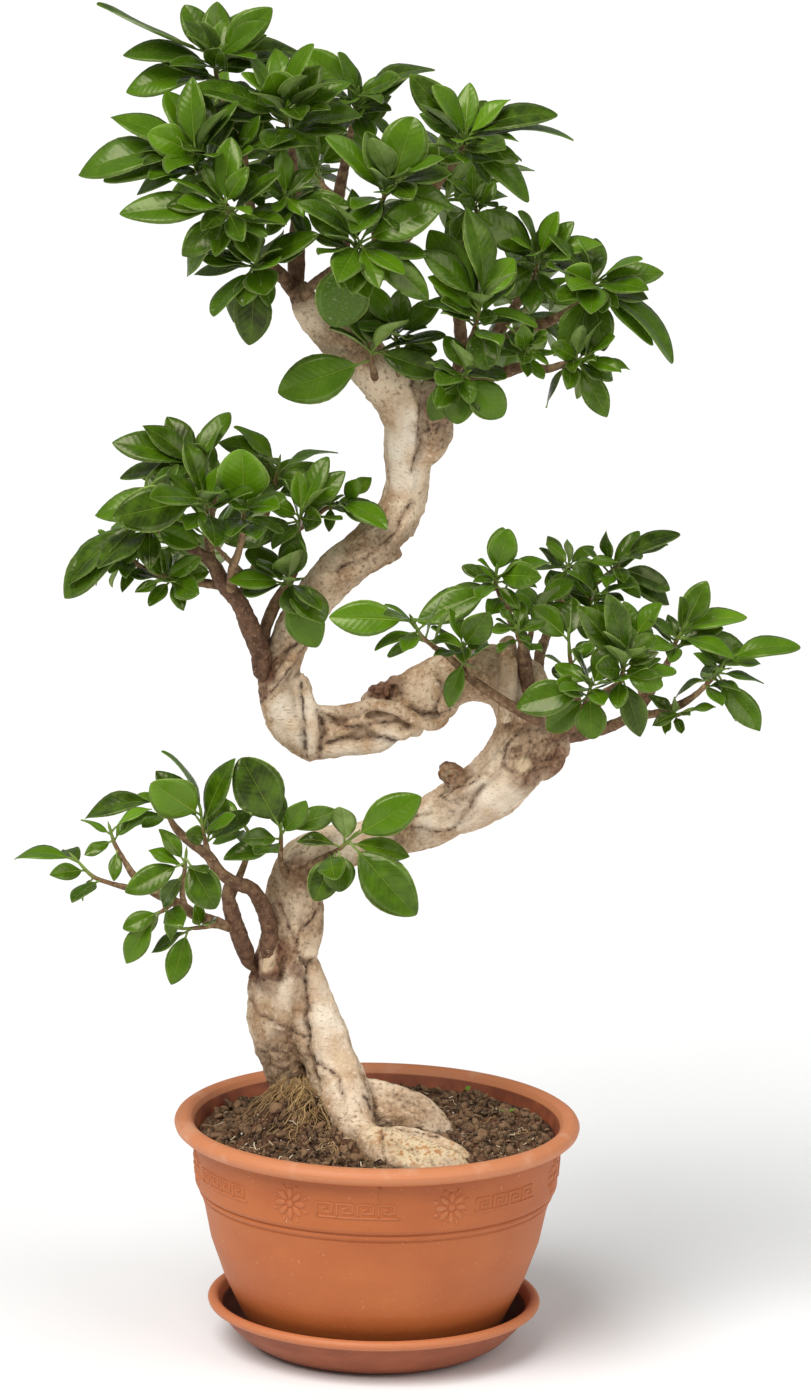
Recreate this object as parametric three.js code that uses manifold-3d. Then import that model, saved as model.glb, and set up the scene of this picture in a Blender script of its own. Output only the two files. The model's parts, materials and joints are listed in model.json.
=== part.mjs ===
// A ficus bonsai in a round bowl on its saucer, in millimetres, +Z up.
// The origin is the centre of the saucer's underside. +Y points away from the viewer of the photo.
import * as THREE from 'three';
import { mergeVertices } from 'three/addons/utils/BufferGeometryUtils.js';
import Module from 'manifold-3d';

const wasm = await Module();
wasm.setup();

// Driving dimensions
const rimRadius = 125;        // outer radius of the pot's rolled rim
const rimTop = 145.8;         // height of the rim's top
const potFloor = 4.7;
const saucerRadius = 102.5;   // outer radius of the saucer's lip
const saucerHeight = 31;
const saucerFloor = 3;
const seatGap = 0.3;          // clearance between pieces that rest in one another
const roundSides = 26;        // facets round the pot, the soil and the saucer
const leafLength = 58;        // a full leaf from the stem to its tip, petiole included
const leafWidth = 0.42;       // widest part of the blade against that length
const leafThickness = 1.3;
const stemRadius = 1.5;       // green shoot at its foot
const trunkSides = 8;
const rootSides = 5;
const branchSides = 4;
const twigSides = 3;
const rootGap = 0.5;          // how much wider the holes in the soil are than the roots' radius

// The route tables give x and z as seen from one standpoint in front of the tree, on the plane
// y = 0, with the depth y beside them. This slides such a point along its sight line to its depth.
const eye = new THREE.Vector3(12.5, -5000, 1570);
function at([x, z, y]) {
  const t = y / -eye.y;
  return new THREE.Vector3(x + t * (x - eye.x), y, z + t * (z - eye.z));
}

// Solids
function toSolid(geometry) {
  const bare = geometry.clone();
  for (const name of Object.keys(bare.attributes)) {
    if (name !== 'position') bare.deleteAttribute(name);
  }
  const merged = mergeVertices(bare, 1e-4);
  return new wasm.Manifold(new wasm.Mesh({
    numProp: 3,
    vertProperties: Float32Array.from(merged.attributes.position.array),
    triVerts: Uint32Array.from(merged.index.array),
  }));
}

function toGeometry(solid) {
  const mesh = solid.getMesh();
  const geometry = new THREE.BufferGeometry();
  geometry.setAttribute('position', new THREE.BufferAttribute(mesh.vertProperties, 3));
  geometry.setIndex(new THREE.BufferAttribute(mesh.triVerts, 1));
  return geometry;
}

function join(solids) {
  let level = solids;
  while (level.length > 1) {
    const next = [];
    for (let i = 0; i < level.length; i += 2) {
      next.push(i + 1 < level.length ? level[i].add(level[i + 1]) : level[i]);
    }
    level = next;
  }
  return level[0];
}

// The largest body of a solid, without loose scraps
function mainBody(solid) {
  const bodies = solid.decompose();
  bodies.sort((a, b) => b.volume() - a.volume());
  return bodies[0];
}

function turned(profile) {
  const points = profile.map(([r, z]) => new THREE.Vector2(r, z));
  const geometry = new THREE.LatheGeometry(points, roundSides);
  geometry.rotateX(Math.PI / 2);
  return geometry;
}

// A tapered limb: a capped cylinder bent along a smooth curve through its stations. With extra it
// is that much fatter, and longer past both ends.
function limbGeometry(stations, sides, extra = 0) {
  const points = stations.map((row) => at(row));
  const radii = stations.map((row) => row[3] + extra);
  const last = points.length - 1;
  const [headward, footward] = [points[last].clone().sub(points[last - 1]), points[0].clone().sub(points[1])];
  points[last].addScaledVector(headward.normalize(), extra);
  points[0].addScaledVector(footward.normalize(), extra);
  return bentTube(points, radii, sides);
}

function bentTube(points, radii, sides) {
  const steps = points.length - 1;
  const curve = new THREE.CatmullRomCurve3(points, false, 'centripetal');
  const tangents = points.map((_, i) => curve.getTangent(i / steps));
  const start = Math.abs(tangents[0].y) < 0.9 ? new THREE.Vector3(0, 1, 0) : new THREE.Vector3(1, 0, 0);
  let across = start.clone().cross(tangents[0]).normalize();
  const frames = tangents.map((tangent) => {
    across = across.clone().addScaledVector(tangent, -across.dot(tangent)).normalize();
    return [across, tangent.clone().cross(across)];
  });
  const geometry = new THREE.CylinderGeometry(1, 1, 1, sides, steps);
  const position = geometry.attributes.position;
  for (let i = 0; i < position.count; i += 1) {
    const k = Math.round((position.getY(i) + 0.5) * steps);
    const [side, up] = frames[k];
    const place = points[k].clone();
    place.addScaledVector(side, position.getX(i) * radii[k]);
    place.addScaledVector(up, -position.getZ(i) * radii[k]);
    position.setXYZ(i, place.x, place.y, place.z);
  }
  return geometry;
}

// Saucer: a deep dish with a rolled lip
function saucerSolid() {
  return toSolid(turned([
    [0, 0], [66, 0], [73, 2], [83, 8], [91, 16], [96, 25], [101, 25.3], [saucerRadius, 28.2],
    [99.3, saucerHeight], [95.6, 29], [91, 20.2], [84, 12], [75, 5.6], [67, saucerFloor],
    [0, saucerFloor],
  ]));
}

// Pot: a bowl with a shoulder, a bead, a plain band and a rolled rim
const potFoot = saucerFloor + seatGap;
const potOuter = [
  [65, potFoot], [78.4, 15], [86, 30], [93, 45], [101.5, 69], [106, 92], [108.4, 97],
  [111.4, 102.5], [113.8, 134.4], [120.5, 135], [rimRadius, 140.3], [120.5, rimTop], [114.5, 144.2],
];
const potInner = [
  [109.6, 131], [107.4, 102], [102, 90], [97.4, 69], [81.8, 30], [64, potFoot + potFloor],
];
const drainHoles = { count: 4, ring: 38, radius: 6, length: 20, sides: 8 };

function potSolid() {
  let pot = toSolid(turned([[0, potFoot], ...potOuter, ...potInner, [0, potFoot + potFloor]]));
  for (let i = 0; i < drainHoles.count; i += 1) {
    const angle = ((i + 0.5) / drainHoles.count) * Math.PI * 2;
    const { ring, radius, length, sides } = drainHoles;
    const hole = new THREE.CylinderGeometry(radius, radius, length, sides);
    hole.rotateX(Math.PI / 2);
    hole.translate(ring * Math.cos(angle), ring * Math.sin(angle), potFoot + potFloor / 2);
    pot = pot.subtract(toSolid(hole));
  }
  return pot;
}

// The soil's surface: flat near the wall, mounded under the trunk and its roots
const mounds = [
  { x: -34, y: -4, height: 16, spread: 42 },
  { x: 25, y: -40, height: 5, spread: 40 },
];
const soilEdge = 134;
function soilTop(x, y) {
  const r = Math.hypot(x, y);
  const fade = THREE.MathUtils.clamp((109 - r) / 30, 0, 1);
  let z = soilEdge + 2 * fade;
  for (const mound of mounds) {
    const d = Math.hypot(x - mound.x, y - mound.y) / mound.spread;
    z += fade * mound.height * Math.exp(-d * d);
  }
  return z;
}

function soilSolid(legs, rootRows) {
  const wall = potInner.map(([r, z]) => [r - seatGap, z]).reverse();
  wall[0][1] += seatGap;
  const rings = [[109.3, soilEdge], [84, soilEdge], [60, soilEdge], [34, soilEdge]];
  const floorZ = potFoot + potFloor + seatGap;
  const geometry = turned([[0, floorZ], ...wall, ...rings, [0, soilEdge]]);
  const position = geometry.attributes.position;
  for (let i = 0; i < position.count; i += 1) {
    if (Math.abs(position.getZ(i) - soilEdge) < 0.01) {
      position.setZ(i, soilTop(position.getX(i), position.getY(i)));
    }
  }
  const holes = [
    ...legs.map((stations) => limbGeometry(stations, trunkSides, rootGap)),
    ...rootRows.map((stations) => limbGeometry(stations, rootSides, rootGap)),
  ];
  return mainBody(toSolid(geometry).subtract(join(holes.map(toSolid))));
}

// Trunk: each limb is a row of stations, [x, z, depth, radius]
const trunkLimbs = {
  leftLeg: [
    [-44, 112, 22, 11], [-46, 135, 20, 12], [-47, 160, 17, 12.5], [-53, 171, 14, 15.5],
    [-57.5, 185, 11, 16.5], [-61.5, 200, 9, 18.5], [-63.5, 220, 7, 18.5], [-63, 235, 6, 17],
    [-58, 252, 5, 16], [-53, 270, 4, 16], [-53, 290, 2, 17], [-47, 305, 0, 15.5], [-35, 312, -2, 14],
    [-17, 317, -3, 13], [0, 322, -4, 13], [25, 331, -4, 15], [52, 345, -3, 18], [77, 367, 0, 20],
    [88, 394, 4, 19], [75, 423, 8, 19], [50, 426, 10, 17], [25, 413, 10, 18], [0, 397, 8, 15],
    [-25, 388, 5, 14.5], [-45, 385, 3, 15], [-60, 397, 2, 13], [-64.5, 420, 2, 12.5],
    [-58, 445, 3, 11.5], [-47, 465, 4, 13], [-30, 487, 5, 14], [-8, 507, 5, 14], [6, 525, 4, 14],
    [11, 545, 3, 13.5], [11, 565, 2, 14], [12, 580, 1, 15], [5, 597, 0, 16], [-5, 608, -1, 15.5],
    [-18, 621, -2, 14], [-35, 634, -4, 12.5], [-50, 648, -6, 10], [-57, 662, -7, 7],
  ],
  rightLeg: [
    [-13, 108, -40, 11], [-13, 132, -37, 13], [-17, 150, -30, 14], [-21, 165, -22, 14.5],
    [-26, 180, -14, 13.5], [-32, 200, -9, 11], [-39, 225, -4, 8], [-47, 246, -1, 7], [-53, 264, -2, 4],
  ],
  rightFork: [
    [-8, 610, 0, 13], [-17, 628, 3, 11], [-21, 642, 6, 8.5], [-24, 654, 8, 7], [-27, 668, 9, 6],
  ],
};

const roots = {
  fin: [[-20, 168, -14, 5], [-4, 163, -12, 5.5], [14, 158, -14, 6], [30, 151, -17, 5.5],
    [42, 140, -20, 5], [50, 118, -22, 4]],
  front: [[-14, 138, -40, 9], [-2, 130, -52, 8], [12, 126, -64, 7.5], [30, 122, -74, 6.5],
    [48, 118, -80, 5], [62, 104, -84, 3.5]],
  frontTwo: [[2, 131, -50, 6], [16, 133, -52, 5.5], [34, 130, -56, 5], [52, 122, -62, 4],
    [64, 108, -66, 3]],
  lump: [[-26, 140, -42, 5], [-28, 127, -56, 6.5], [-32, 118, -70, 7], [-34, 106, -80, 5]],
  leftFan: [[-52, 166, 8, 7], [-60, 156, -8, 6], [-70, 144, -24, 5], [-80, 128, -36, 3.5],
    [-84, 112, -40, 2.5]],
  leftFanTwo: [[-50, 163, 2, 6.5], [-54, 150, -18, 5.5], [-60, 138, -36, 4.5], [-66, 124, -50, 3],
    [-68, 108, -56, 2.5]],
  back: [[-46, 158, 22, 7], [-42, 148, 40, 6], [-36, 136, 58, 5], [-30, 118, 66, 3.5]],
};

// Fused aerial roots, knobs, stubs and scars that stand out of the trunk
const strands = {
  bendCord: [[-49, 424, -10, 3.5], [-45, 402, -13, 4], [-43.5, 385, -13.5, 4], [-45, 369, -10, 3.7],
    [-46, 362, -3, 2.5]],
  bendSlant: [[-73, 403, -6, 3], [-66, 417, -12, 3.6], [-57, 433, -12, 3.6], [-49, 447, -7, 3]],
  twistTop: [[-46, 400, -9, 4], [-24, 396, -10, 5], [-7, 403, -8, 5], [11, 402, -9, 5.5],
    [29, 395, -7, 4.5], [37, 393, 0, 3]],
  archCord: [[74, 447, -4, 5], [75, 432, -12, 6], [74.5, 415, -14.5, 6], [73, 397, -14, 5]],
  knob: [[30, 366, -10, 5], [38, 371, -12, 7.5], [47, 369, -12, 6], [54, 362, -9, 4]],
  turnCord: [[34, 344, -16, 3], [50, 353, -18.5, 3.8], [66, 366, -19, 4], [80, 388, -15, 3.5]],
  necks: [[-30, 495, -2, 6], [-16, 496, -7, 6.5], [0, 505, -8, 6], [10, 520, -6, 4.5]],
  ridge: [[-44, 476, -6, 4.5], [-30, 484, -9, 4.5], [-14, 488, -9, 4.5], [2, 500, -6, 4]],
  sideKnob: [[22, 603, -4, 6], [27, 590, -6, 8], [30, 576, -6, 8.5], [26, 563, -5, 6.5],
    [18, 552, -4, 4]],
  baseRight: [[-44, 246, -7, 5], [-42, 262, -10, 6.5], [-42, 278, -10, 6.5], [-47, 296, -8, 5]],
  branchSwell: [[-68, 226, -8, 6], [-67, 240, -11, 8], [-67, 252, -10, 7.5], [-68, 262, -8, 5.5]],
};

// Branches that carry the leafy pads
const branches = {
  lowOuter: [[-79, 230, -4, 6], [-83, 245, -8, 5.5], [-87, 259, -9, 5.2], [-92, 275, -10, 4.8],
    [-95, 284, -10, 3.2]],
  lowInner: [[-67, 244, -9, 6.5], [-68, 262, -11, 5.5], [-73, 278, -12, 5], [-80, 288, -13, 4.6],
    [-91, 292, -13, 4], [-99, 298, -13, 3.6], [-107, 309, -12, 3.2], [-117, 316, -11, 2.8],
    [-127, 326, -10, 2.2]],
  lowRun: [[-89, 262, -9, 3.8], [-103, 267, -14, 3.6], [-114, 271, -18, 3.4], [-127, 279, -22, 3.2],
    [-141, 286, -24, 2.8], [-151, 294, -24, 2.2]],
  lowRise: [[-93, 280, -10, 3], [-88, 293, -5, 2.2], [-84, 304, -2, 2]],
  midMain: [[-73, 422, -3, 7], [-76, 436, -6, 6.5], [-82, 450, -8, 6], [-91, 469, -10, 5.5],
    [-100, 480, -11, 5], [-107, 492, -12, 4], [-117, 499, -13, 3.4], [-128, 505, -14, 2.8],
    [-137, 510, -15, 2.2]],
  midFork: [[-74, 430, -2, 4], [-74, 448, 1, 4], [-67, 468, 5, 3.6], [-59, 482, 6, 3.2],
    [-53, 500, 6, 2.6], [-55, 513, 4, 2.2]],
  midLow: [[-98, 477, -9, 3], [-113, 479, -10, 2.8], [-126, 480, -11, 2.6], [-139, 483, -12, 2.3],
    [-148, 487, -13, 2]],
  midUp: [[-95, 475, -12, 3.2], [-94, 488, -16, 2.6], [-90, 500, -19, 2.2], [-88, 511, -20, 1.9]],
  midBack: [[-91, 470, -10, 3.2], [-84, 480, 4, 2.8], [-79, 495, 12, 2.4], [-77, 510, 18, 2]],
  midTall: [[-105, 489, -12, 3], [-109, 505, -4, 2.6], [-107, 522, 2, 2.2], [-106, 533, 4, 2]],
  rightRise: [[90, 398, -2, 6], [87, 417, -8, 4.6], [84, 437, -10, 4], [82, 452, -10, 3.2],
    [76, 459, -9, 2.8], [71, 470, -9, 2.2]],
  rightBack: [[96, 396, 10, 6], [94, 412, 16, 4.6], [93, 432, 22, 3.6], [98, 452, 28, 3],
    [104, 470, 32, 2.4], [108, 484, 34, 2]],
  rightLow: [[96, 386, -2, 6], [108, 391, -6, 4], [119, 396, -10, 3.4], [128, 406, -14, 3],
    [134, 415, -17, 2.6], [142, 421, -20, 2.2]],
  rightFar: [[100, 388, 2, 6], [114, 388, 6, 4.6], [128, 391, 8, 4], [145, 398, 8, 3.4],
    [158, 410, 6, 3], [165, 424, 4, 2.6], [172, 436, 2, 2]],
  rightEnd: [[150, 401, 8, 3], [165, 403, 4, 2.6], [182, 410, -2, 2.4], [190, 416, -4, 2]],
  rightFront: [[94, 397, -10, 4], [75, 407, -22, 3.2], [64, 414, -25, 3], [54, 421, -26, 2.8],
    [39, 435, -26, 2.2]],
  crownLeft: [[-57, 658, -6, 6.5], [-65, 667, -8, 5], [-77, 677, -11, 4.2], [-86, 688, -13, 3.8],
    [-95, 702, -15, 3.2], [-105, 715, -17, 2.6], [-112, 726, -18, 2]],
  crownLeftUp: [[-80, 680, -8, 3.6], [-84, 698, -2, 3.2], [-88, 720, 2, 2.8], [-92, 745, 4, 2.5],
    [-98, 764, 4, 2.3], [-103, 776, 3, 2]],
  crownMid: [[-56, 655, -2, 6], [-58, 680, 2, 5], [-58, 705, 0, 4], [-60, 728, -4, 3],
    [-62, 745, -8, 2.2]],
  crownMidBack: [[-26, 660, 10, 5.5], [-30, 685, 16, 4.6], [-34, 712, 18, 3.8], [-30, 738, 16, 3],
    [-27, 756, 12, 2.2]],
  crownFront: [[-55, 655, -8, 4], [-48, 664, -20, 3.2], [-38, 672, -32, 2.8], [-31, 678, -40, 2.2]],
  crownRoot: [[-27, 655, 8, 6], [-14, 668, 6, 5], [-2, 682, 2, 4.4], [10, 698, -2, 3.8],
    [20, 716, -4, 3.2], [30, 733, -6, 2.6], [37, 742, -6, 2]],
  crownNear: [[-10, 672, 2, 3.6], [-10, 688, -8, 3], [-11, 702, -16, 2.4], [-9, 710, -20, 2]],
  lobeLow: [[10, 588, 4, 7], [20, 600, 2, 5.5], [32, 607, 0, 4.8], [48, 610, -2, 4.4],
    [64, 611, -4, 4], [80, 616, -6, 3.2], [94, 615, -8, 2.6], [104, 618, -9, 2]],
  lobeStem: [[34, 607, 0, 4], [41, 616, -10, 3.2], [45, 626, -16, 2.6], [49, 635, -20, 2]],
  lobeMid: [[46, 610, 0, 4.4], [56, 624, 6, 4], [66, 640, 8, 3.6], [76, 656, 6, 3], [84, 668, 4, 2.2]],
  lobeRight: [[64, 632, 6, 3.6], [84, 640, 2, 3.2], [102, 648, -2, 2.8], [116, 658, -4, 2]],
  lobeHigh: [[40, 609, -1, 4.4], [42, 630, 14, 4], [40, 655, 18, 3.4], [44, 680, 18, 2.8],
    [50, 700, 16, 2]],
};

// Leafy shoots. wood: the last stretch of twig; tip: where the green stem ends; leaves: rows of
// [tip x, tip z, lean, face, size, width]. Lean runs from -1, toward the viewer, to 1, away.
// Face 1 shows the viewer the whole blade, 0 lies flat, and a negative one shows the underside.
const sprays = {
  lowFar: {
    wood: [[-141, 287, -24, 2.4], [-155, 287, -26, 2], [-164, 289, -27, 1.6]], tip: [-186, 303, -27],
    leaves: [[-163, 277, 0.3, 0.6, 0.35], [-183, 278, 0.2, 0.3, 0.5], [-203, 294, -0.6, 0.7, 0.65],
      [-225, 304, -0.1, 0.25, 0.95]],
  },
  lowMid: {
    wood: [[-151, 294, -24, 2], [-157, 303, -24, 1.7], [-160, 308, -24, 1.5]], tip: [-166, 322, -25],
    leaves: [[-164, 291, -0.5, 0.7, 0.5], [-182, 307, -0.3, 0.7, 0.6], [-141, 337, 0.3, 0.1, 0.6]],
  },
  lowTop: {
    wood: [[-127, 326, -10, 1.9], [-130, 331, -11, 1.6]], tip: [-133, 341, -12],
    leaves: [[-161, 321, -0.3, 0.25, 0.8], [-150, 346, -0.3, 0.4, 0.5], [-182, 330, -0.2, 0.3, 1]],
  },
  lowRound: {
    wood: [[-106, 308, -12, 2.2], [-108, 316, -15, 1.7]], tip: [-111, 334, -18],
    leaves: [[-120, 322, -0.8, 0.9, 0.5, 0.5], [-90, 334, -0.5, 0.5, 0.6], [-91, 370, 0.2, 0.5, 0.8],
      [-139, 361, 0.4, 0.6, 0.8], [-135, 374, 0.2, 0.05, 0.8], [-141, 354, -0.6, 1, 0.95, 0.6]],
  },
  lowFront: {
    wood: [[-120, 275, -20, 2.4], [-122, 286, -28, 1.7], [-121, 295, -32, 1.5]], tip: [-120, 307, -35],
    leaves: [[-134, 275, 0.4, 0.8, 0.7, 0.4], [-143, 311, -0.2, 0.5, 0.6],
      [-157, 284, -0.2, 0.8, 0.9, 0.42], [-101, 275, -0.3, 1, 0.9, 0.62]],
  },
  lowUnder: {
    wood: [[-127, 279, -22, 1.9], [-131, 275, -24, 1.5]], tip: [-138, 271, -25],
    leaves: [[-121, 264, -0.7, 0.9, 0.6, 0.6], [-158, 261, -0.2, 0.8, 0.6, 0.5],
      [-156, 239, 0, 0.9, 0.8, 0.42]],
  },
  lowStub: {
    wood: [[-91, 262, -10, 2.2], [-103, 264, -15, 1.8], [-109, 263, -17, 1.5]], tip: [-118, 262, -19],
    leaves: [[-114, 277, -0.5, 0.8, 0.5, 0.5], [-128, 226, -0.3, 1, 0.9, 0.46]],
  },
  lowUp: {
    wood: [[-84, 304, -2, 1.8], [-82, 312, -1, 1.6]], tip: [-86, 330, 2],
    leaves: [[-89, 320, -0.6, 0.6, 0.6, 0.5], [-104, 316, 0.2, 0.5, 0.6], [-104, 345, 0.4, 0.5, 0.6]],
  },
  lowRightTwig: {
    wood: [[-58, 298, -12, 3.5], [-62, 307, -18, 1.8], [-62, 313, -20, 1.5]], tip: [-62, 326, -22],
    leaves: [[-97, 306, -0.4, 0.6, 0.8], [-86, 319, -0.5, 0.7, 0.6, 0.5],
      [-47, 344, -0.3, 1, 0.6, 0.5], [-28, 338, 0.4, 0.8, 0.8], [-87, 370, -0.1, 1, 1, 0.62]],
  },
  lowRight: {
    wood: [[-50, 298, -10, 4], [-38, 307, -24, 2.2], [-31, 311, -29, 1.7]], tip: [-19, 321, -33],
    leaves: [[-41, 281, -0.5, 1, 0.65, 0.6], [-25, 287, -0.5, 1, 0.6, 0.75],
      [-52, 320, -0.2, 0.4, 0.65], [-38, 319, 0.3, 0.2, 0.5], [17, 310, 0.4, 0.6, 0.8, 0.4],
      [21, 274, -0.3, 1, 1.05, 0.5], [23, 348, -0.1, 1, 0.95, 0.48]],
  },
  midLeftEnd: {
    wood: [[-137, 510, -15, 1.9], [-141, 512, -16, 1.6]], tip: [-150, 517, -18],
    leaves: [[-115, 502, -0.4, 0.9, 0.7, 0.5], [-144, 487, -0.6, 1, 0.7, 0.5],
      [-174, 474, 0.3, 0.3, 0.8], [-189, 463, 0.1, 0.7, 1], [-182, 467, -0.4, 0.7, 1]],
  },
  midFar: {
    wood: [[-148, 487, -13, 1.8], [-154, 491, -15, 1.6]], tip: [-164, 501, -17],
    leaves: [[-167, 475, 0.3, 0.1, 0.7], [-152, 500, -0.5, 0.7, 0.4], [-192, 501, 0.3, 0.5, 0.6]],
  },
  midLowFront: {
    wood: [[-126, 480, -12, 1.9], [-130, 480, -15, 1.5]], tip: [-137, 480, -20],
    leaves: [[-114, 472, -0.6, 1, 0.7, 0.6], [-108, 486, 0.3, 0.7, 0.6, 0.5],
      [-112, 495, -0.2, 0.9, 0.6], [-153, 472, -0.2, 0.8, 0.5]],
  },
  midTop: {
    wood: [[-106, 533, 4, 1.8], [-108, 538, 2, 1.5]], tip: [-117, 552, -4],
    leaves: [[-154, 547, 0.4, 0.6, 0.8], [-163, 543, 0.2, 0.2, 0.9], [-122, 562, -0.8, 0.7, 0.7, 0.5],
      [-146, 564, -0.4, 0.5, 0.6], [-169, 561, 0, 0.35, 1], [-152, 572, 0.2, 0.8, 0.9],
      [-94, 583, 0.3, 0.5, 0.9]],
  },
  midFront: {
    wood: [[-107, 500, -12, 2.2], [-108, 513, -20, 1.7], [-109, 519, -23, 1.5]], tip: [-112, 531, -28],
    leaves: [[-97, 504, -0.5, 0.8, 0.6, 0.5], [-104, 551, -0.3, 0.5, 0.5], [-178, 520, 0.2, 0.5, 1.1],
      [-167, 517, -0.1, 0.9, 1, 0.5]],
  },
  midUpFront: {
    wood: [[-88, 511, -20, 1.7], [-88, 516, -21, 1.5]], tip: [-87, 526, -24],
    leaves: [[-63, 511, 0.2, 0.4, 0.7], [-89, 562, -0.5, 1, 0.85, 0.75]],
  },
  midRight: {
    wood: [[-55, 513, 4, 1.9], [-54, 516, -1, 1.6]], tip: [-53, 524, -10],
    leaves: [[-61, 483, -0.3, 1, 0.8, 0.5], [-99, 504, -0.5, 0.8, 0.9, 0.4],
      [-41, 519, -0.7, 0.9, 0.6, 0.6], [-78, 531, -0.4, 0.7, 0.8], [-29, 549, -0.2, 0.9, 0.95],
      [-33, 555, 0.4, 0.5, 0.9]],
  },
  midTopRight: {
    wood: [[-77, 510, 18, 2], [-73, 525, 14, 1.7], [-70, 538, 11, 1.5]], tip: [-67, 553, 8],
    leaves: [[-76, 537, -0.6, 0.8, 0.6, 0.5], [-44, 541, -0.4, 0.8, 0.6, 0.6],
      [-31, 561, 0.4, 0.05, 0.8], [-104, 566, -0.3, 0.4, 0.9], [-96, 574, 0.1, 0.5, 0.9]],
  },
  midFarRight: {
    wood: [[-55, 513, 4, 2], [-46, 520, 2, 1.7], [-40, 525, 0, 1.5]], tip: [-24, 530, -4],
    leaves: [[-22, 511, 0.3, 0.3, 0.8], [-36, 512, -0.3, 0.6, 0.6], [-4, 519, -0.6, 0.5, 0.8],
      [0, 511, -0.6, 0.4, 1], [-10, 527, -0.2, 0.5, 0.5], [-20, 545, -0.3, 0.8, 0.5, 0.6]],
  },
  midHeart: {
    wood: [[-60, 480, 5, 2.4], [-60, 481, -5, 1.7], [-60, 481, -11, 1.5]], tip: [-62, 479, -20],
    leaves: [[-42, 440, -0.1, 1, 0.8, 0.55], [-51, 461, -0.7, 1, 0.5, 0.9], [-98, 481, -0.4, 0.5, 0.8]],
  },
};

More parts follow.
